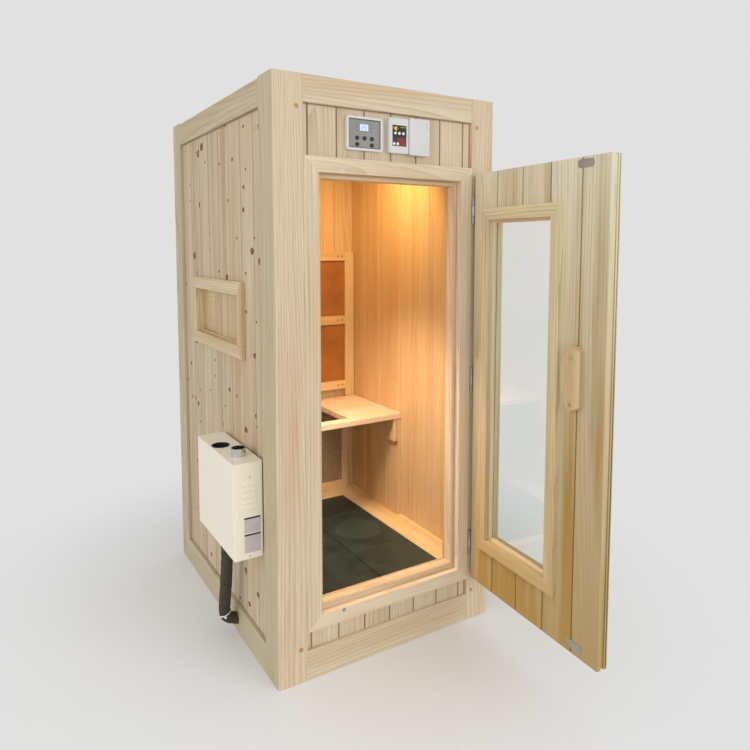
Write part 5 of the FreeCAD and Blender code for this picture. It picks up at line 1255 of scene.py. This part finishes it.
rim = start_from(bpy.ops.mesh.primitive_plane_add, (*RIM_PROFILE, 1),
                 RIM_CENTRE + Vector((RIM_RADIUS, 0, RIM_PROFILE[1] / 2)), FORWARDS, size=1)
shape(rim, "ALL", "VERT")
bpy.ops.mesh.bevel(offset=0.0008, segments=3, affect="VERTICES")
bpy.ops.mesh.select_all(action="SELECT")
bpy.ops.mesh.spin(steps=RIM_STEPS, angle=math.tau, center=RIM_CENTRE, axis=(0, 0, 1))
bpy.ops.mesh.select_all(action="SELECT")
bpy.ops.mesh.remove_doubles(threshold=0.00002)
face_outwards()
smooth(50)
neck = start_from(bpy.ops.mesh.primitive_cylinder_add,
                  place=RIM_CENTRE - Vector((0, 0, NECK_DOWN)), vertices=RIM_STEPS,
                  radius=NECK_RADIUS, depth=NECK_LONG, end_fill_type="NOTHING")
modified(neck, "SOLIDIFY", thickness=0.0014, offset=-1.0)
smooth(50)
rim = joined([rim, neck])
settle(rim, "boiler_hole_rim", black_rubber, "cabin", "black_rubber")
print("rim of", len(rim.data.polygons), "faces")

# %% [markdown]
# ## Figures on the two control panels
# Each display shows two lit figures built from seven bars, as such displays do. One bar is a
# cube whose two ends are drawn to a point. A figure takes the bars it needs, and each bar is a
# copy of the first.

# %% Lit finishes
def lit(name, bright, dim, strength):
    """A lit part of a display, slightly uneven across its face."""
    material, tree = new_material(name)
    place = add(tree, "TexCoord").outputs["Object"]
    uneven = add(tree, "TexNoise", {"Vector": place, "Scale": 160.0, "Detail": 1.0}).outputs[0]
    colour = add(tree, "Mix", {0: uneven, 6: linear(bright), 7: linear(dim)},
                 data_type="RGBA").outputs[2]
    gloss = add(tree, "MapRange", {"Value": uneven, "To Min": 0.2, "To Max": 0.35})
    bump = add(tree, "Bump", {"Strength": 0.1, "Distance": 0.0001, "Height": uneven})
    finish_material(tree, add(tree, "BsdfPrincipled",
                              {"Base Color": colour, "Roughness": gloss,
                               "Emission Color": colour, "Emission Strength": strength}), bump)
    return material


# a pale blue glow behind dark figures on one panel, yellow figures that glow on the other
lcd_back = lit("backlit display film", "#c4d2f4", "#a9bdea", 0.55)
lcd_ink = even_finish("dark display ink", "#3c4a78", "#2f3b66", 0.35, 2.0, 0.01)
led_yellow = lit("yellow lit figure", "#f4e04a", "#dcc22c", 1.6)
print("display finishes:", [kind.name for kind in (lcd_back, lcd_ink, led_yellow)])

# %% Bars and figures
BAR_SIZE = (0.0036, 0.0003, 0.0011)
BAR_TIP = 0.0006
BAR_SIDE = 0.0024       # of an upright bar from the figure's middle
BAR_RISE = 0.0051       # of the top bar from the figure's middle
FIGURE_HIGH = 0.0112
FIGURE_STEP = 0.0078
BARS = {"a": (0, 1, 0), "d": (0, -1, 0), "g": (0, 0, 0), "b": (1, 0.5, 1), "c": (1, -0.5, 1),
        "e": (-1, -0.5, 1), "f": (-1, 0.5, 1)}
FIGURES = {"2": "abged", "3": "abgcd", "4": "fgbc", "0": "abcdef"}

bar_model = start_from(bpy.ops.mesh.primitive_cube_add, BAR_SIZE, size=1)
shape(bar_model)
choose(bar_model, lambda centre, normal: abs(normal.x) > 0.9)
bpy.ops.mesh.extrude_region_shrink_fatten(TRANSFORM_OT_shrink_fatten={"value": BAR_TIP})
bpy.ops.transform.resize(value=(1, 1, 0.15))
object_mode()


def figures(name, text, place, height, material, slot):
    """Seven-bar figures side by side, facing the front."""
    size = height / FIGURE_HIGH
    parts = []
    for index, sign in enumerate(text):
        middle = Vector(place) + Vector((index * FIGURE_STEP * size, 0, 0))
        for letter in FIGURES[sign]:
            sideways, upwards, upright = BARS[letter]
            spot = middle + Vector((sideways * BAR_SIDE, 0, upwards * BAR_RISE)) * size
            parts.append(put_copy(bar_model, spot, (0, math.pi / 2 * upright, 0), size))
    return settle(joined(parts), name, material, "cabin", slot)


print("one bar of", len(bar_model.data.polygons), "faces")

# %% [markdown]
# ## Panel A
# The display is a thin block whose front is inset and pushed back by a hair. Three small pointers
# stand on each side of it. The dark line round the grey face is painted shadow for the gap in
# which
# it floats: a black ring, a plane with its middle inset and deleted, given a little height.

# %% Panel A: display, figures and marks
DISPLAY_SIZE = (0.0300, 0.0006, 0.0195)
DISPLAY_OFF = (-0.0015, 0.0195)     # from the middle of the face, across and up
FIGURES_ASIDE = 0.0045      # the first of the two stands so far left of the display's middle
GAP_WIDE = 0.0024
MARK_ASIDE = 0.026
MARK_STEP = 0.011

(face_left, face_front, face_low), (face_right, _, face_high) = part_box("control_a_face")
face_x, face_z = (face_left + face_right) / 2, (face_low + face_high) / 2
display_x, display_z = face_x + DISPLAY_OFF[0], face_z + DISPLAY_OFF[1]
display = start_from(bpy.ops.mesh.primitive_cube_add, DISPLAY_SIZE,
                     (display_x, face_front - DISPLAY_SIZE[1] / 2, display_z), size=1)
shape(display)
choose(display, lambda centre, normal: normal.y < -0.9)
bpy.ops.mesh.inset(thickness=0.0012)
pull(0, 0.0003, 0)
object_mode()
settle(display, "panel_a_display", lcd_back, "cabin", "dark_window")
figures("panel_a_figures", "23", (display_x - FIGURES_ASIDE, face_front - 0.0005, display_z),
        0.0125, lcd_ink, "dark_window")

# painted shadow: a black ring stands for the shade in the gap round the grey face
gap = start_from(bpy.ops.mesh.primitive_plane_add,
                 (face_right - face_left, face_high - face_low, 1),
                 (face_x, face_front + 0.0001, face_z), FORWARDS, size=1)
shape(gap, "ALL")
bpy.ops.mesh.inset(thickness=GAP_WIDE)
bpy.ops.mesh.delete(type="FACE")
bpy.ops.mesh.select_all(action="SELECT")
pull(0, -0.0004, 0)
face_outwards()
settle(gap, "panel_a_gap_shadow", black_abs, "cabin", "black_plastic")
print("gap ring of", len(gap.data.polygons), "faces")

mark_model = start_from(bpy.ops.mesh.primitive_cylinder_add, turn=FORWARDS, vertices=3,
                        radius=0.0022, depth=0.0005)
shape(mark_model)
choose(mark_model, lambda centre, normal: normal.y < -0.9)
bpy.ops.mesh.inset(thickness=0.0003)
pull(0, -0.0001, 0)
object_mode()
marks = [put_copy(mark_model, (display_x + way * MARK_ASIDE, face_front - 0.0002,
                               display_z + row * MARK_STEP), (0, -way * 0.5, 0))
         for way in (-1, 1) for row in (1, 0, -1)]
settle(joined(marks), "panel_a_marks", black_abs, "cabin", "black_plastic")
bpy.data.objects.remove(mark_model)

# %% [markdown]
# ## Panel B
# Behind the smoked window two yellow figures glow, with a row of three small lamps beside them.
# A lamp is a sphere cut in half by Bisect and closed, so that only its front dome is left.

# %% Panel B: figures and lamps in the smoked window
LAMP_RADIUS = 0.0011
LAMP_COLUMNS = (0.0195, 0.0125, 0.0055)     # from the window's right edge
LAMP_DOWN = 0.006
FIGURES_CORNER = (0.009, 0.0107)            # in from the left edge and down from the top

window_front = window_low.y
figures("panel_b_figures", "40",
        (window_low.x + FIGURES_CORNER[0], window_front - 0.0002,
         window_high.z - FIGURES_CORNER[1]), 0.0100, led_yellow, "dark_window")
bpy.data.objects.remove(bar_model)
lamp_model = start_from(bpy.ops.mesh.primitive_uv_sphere_add, segments=16, ring_count=8,
                        radius=LAMP_RADIUS)
shape(lamp_model, "ALL")
bpy.ops.mesh.bisect(plane_co=(0, 0, 0), plane_no=(0, 1, 0), clear_outer=True, use_fill=True)
object_mode()
smooth(50)
lamps = [put_copy(lamp_model, (window_high.x - column, window_front, window_high.z - LAMP_DOWN))
         for column in LAMP_COLUMNS]
settle(joined(lamps), "panel_b_lamps", led_yellow, "cabin", "dark_window")
bpy.data.objects.remove(lamp_model)
print("display fronts at", round(face_front, 4), round(window_front, 4))

# %% [markdown]
# ## Fittings on the door
# These pieces belong to the leaf, so they ride on the door. A leaf place is given by its run from
# the hinge, its depth and its height, and one function turns it to the room.

# %% Places on the leaf
LEAF_ROOT = Vector(LEAF[0])
LEAF_TURN = LEAF[1]


def on_leaf(run, depth, height):
    """A place on the open leaf in the room's frame."""
    return LEAF_ROOT + Matrix.Rotation(LEAF_TURN, 3, "Z") @ Vector((run, depth, height))


print("leaf's middle at", tuple(round(v, 3) for v in on_leaf(*window_middle)))

# %% [markdown]
# ## Screws of the catch plates and the grille
# The plates that meet the magnets are held by four sunk screws, whose heads end a hair in front
# of the plate, clear of the closed casing. The leg heater's sheet is held by rows of screws.

# %% Screws of the catch plates and the grille
SUNK_DEPTH = 0.0019
CATCH_RUNS = (0.5075, 0.5455)
CATCH_HEIGHTS = (0.201, 1.621)
GRILLE_COLUMNS = (-0.276, 0, 0.276)
GRILLE_ROWS = (0.279, 0.398, 0.428, 0.596)

leaf_inwards = Matrix.Rotation(LEAF_TURN, 3, "Z") @ Matrix.Rotation(math.radians(90), 3, "X")
catch_screws = [put_copy(screw, on_leaf(run, SUNK_DEPTH, height), leaf_inwards.to_euler(), 0.95)
                for run in CATCH_RUNS for height in CATCH_HEIGHTS]
settle(joined(catch_screws), "catch_screws", zinc, "door", "bright_metal")
grille_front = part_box("leg_heater_grille")[0].y
grille_screws = [put_copy(screw, (x, grille_front, z), FORWARDS, 1.1)
                 for x in GRILLE_COLUMNS for z in GRILLE_ROWS]
settle(joined(grille_screws), "grille_screws", zinc, "cabin", "bright_metal")
bpy.data.objects.remove(screw)
print(len(catch_screws), "screws on the door and", len(grille_screws), "on the grille")

# %% [markdown]
# ## Glazing beads
# A pane is held by a thin wooden bead on each side, mitred round the opening, and the bead's
# slope is what catches the light round the glass. A plane the size of the opening is inset by the
# bead's width, its middle is deleted, the ring is pulled up from the glass, and its inner edge is
# lowered to make the slope.

# %% Glazing beads
BEAD_WIDE = 0.010
BEAD_HIGH = 0.009
BEAD_SLOPE = 0.35       # of its height is left at the bead's inner edge
PANE_SIDES = (0.0195, 0.0245)

# trim wood with a weak figure: a plain pale line round the glass
bead_wood = softwood("glazing bead pine", ("#e8d9bb", "#b9935f", "#dbbb8c"), turned=LEAF,
                     start=window_middle, pitch=(SIDES, SIDES, SIDES), figure=0.6,
                     joint=round_window(0))


def bead(name, depth, rise):
    """A mitred bead ring on one side of the pane."""
    (left, right), (low, high) = OPENING
    made = start_from(bpy.ops.mesh.primitive_plane_add, (right - left, high - low, 1),
                      ((left + right) / 2, depth, (low + high) / 2), FORWARDS, size=1)
    shape(made, "ALL")
    bpy.ops.mesh.inset(thickness=BEAD_WIDE)
    bpy.ops.mesh.delete(type="FACE")
    bpy.ops.mesh.select_all(action="SELECT")
    pull(0, rise, 0)
    object_mode()
    for vertex in made.data.vertices:
        from_edge = min(vertex.co.x - left, right - vertex.co.x,
                        vertex.co.z - low, high - vertex.co.z)
        if from_edge > BEAD_WIDE / 2 and abs(vertex.co.y - depth) > BEAD_HIGH / 2:
            vertex.co.y = depth + rise * BEAD_SLOPE
    shape(made)
    face_outwards()
    made.matrix_world = Matrix.Translation(LEAF_ROOT) @ Matrix.Rotation(LEAF_TURN, 4, "Z")
    return settle(made, name, bead_wood, "door", "pine_trim")


bead("bead_inside", PANE_SIDES[0], -BEAD_HIGH)
bead("bead_outside", PANE_SIDES[1], BEAD_HIGH)
print("beads round an opening of", *(round(high - low, 3) for low, high in OPENING), "m")

# %% [markdown]
# ## Plugs of the backrest
# Where a rail of the backrest meets its upright, two screws are sunk and plugged with short
# rounds of the same pine. A plug is a cylinder with a bevelled rim that stands a hair proud.

# %% Plugs of the backrest
PLUG_RADIUS = 0.0052
PLUG_LONG = 0.0016
PLUG_COLUMNS = (0.270, 0.293)
PLUG_ROWS = (0.730, 1.041, 1.341)

plug = start_from(bpy.ops.mesh.primitive_cylinder_add, turn=FORWARDS, vertices=24,
                  radius=PLUG_RADIUS, depth=PLUG_LONG)
soften(plug, 0.0005)
backrest_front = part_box("backrest_frame")[0].y
plugs = [put_copy(plug, (side * x, backrest_front - 0.0002, z))
         for side in (-1, 1) for x in PLUG_COLUMNS for z in PLUG_ROWS]
bpy.data.objects.remove(plug)
# end grain again, a darker dot on the pale frame
plug_wood = softwood("backrest plug pine", ("#c99a5f", "#8f6335", "#b98d55"), order="YXZ",
                     pitch=(0.05, WHOLE, 0.05))
settle(joined(plugs), "backrest_plugs", plug_wood, "cabin", "plug_wood")
print("backrest front at", round(backrest_front, 4))

# %% [markdown]
# ## The dressed cabin
# The solids haven't moved, and nothing that was added stands far outside them, so the dressed
# cabin measures what the bare one did.
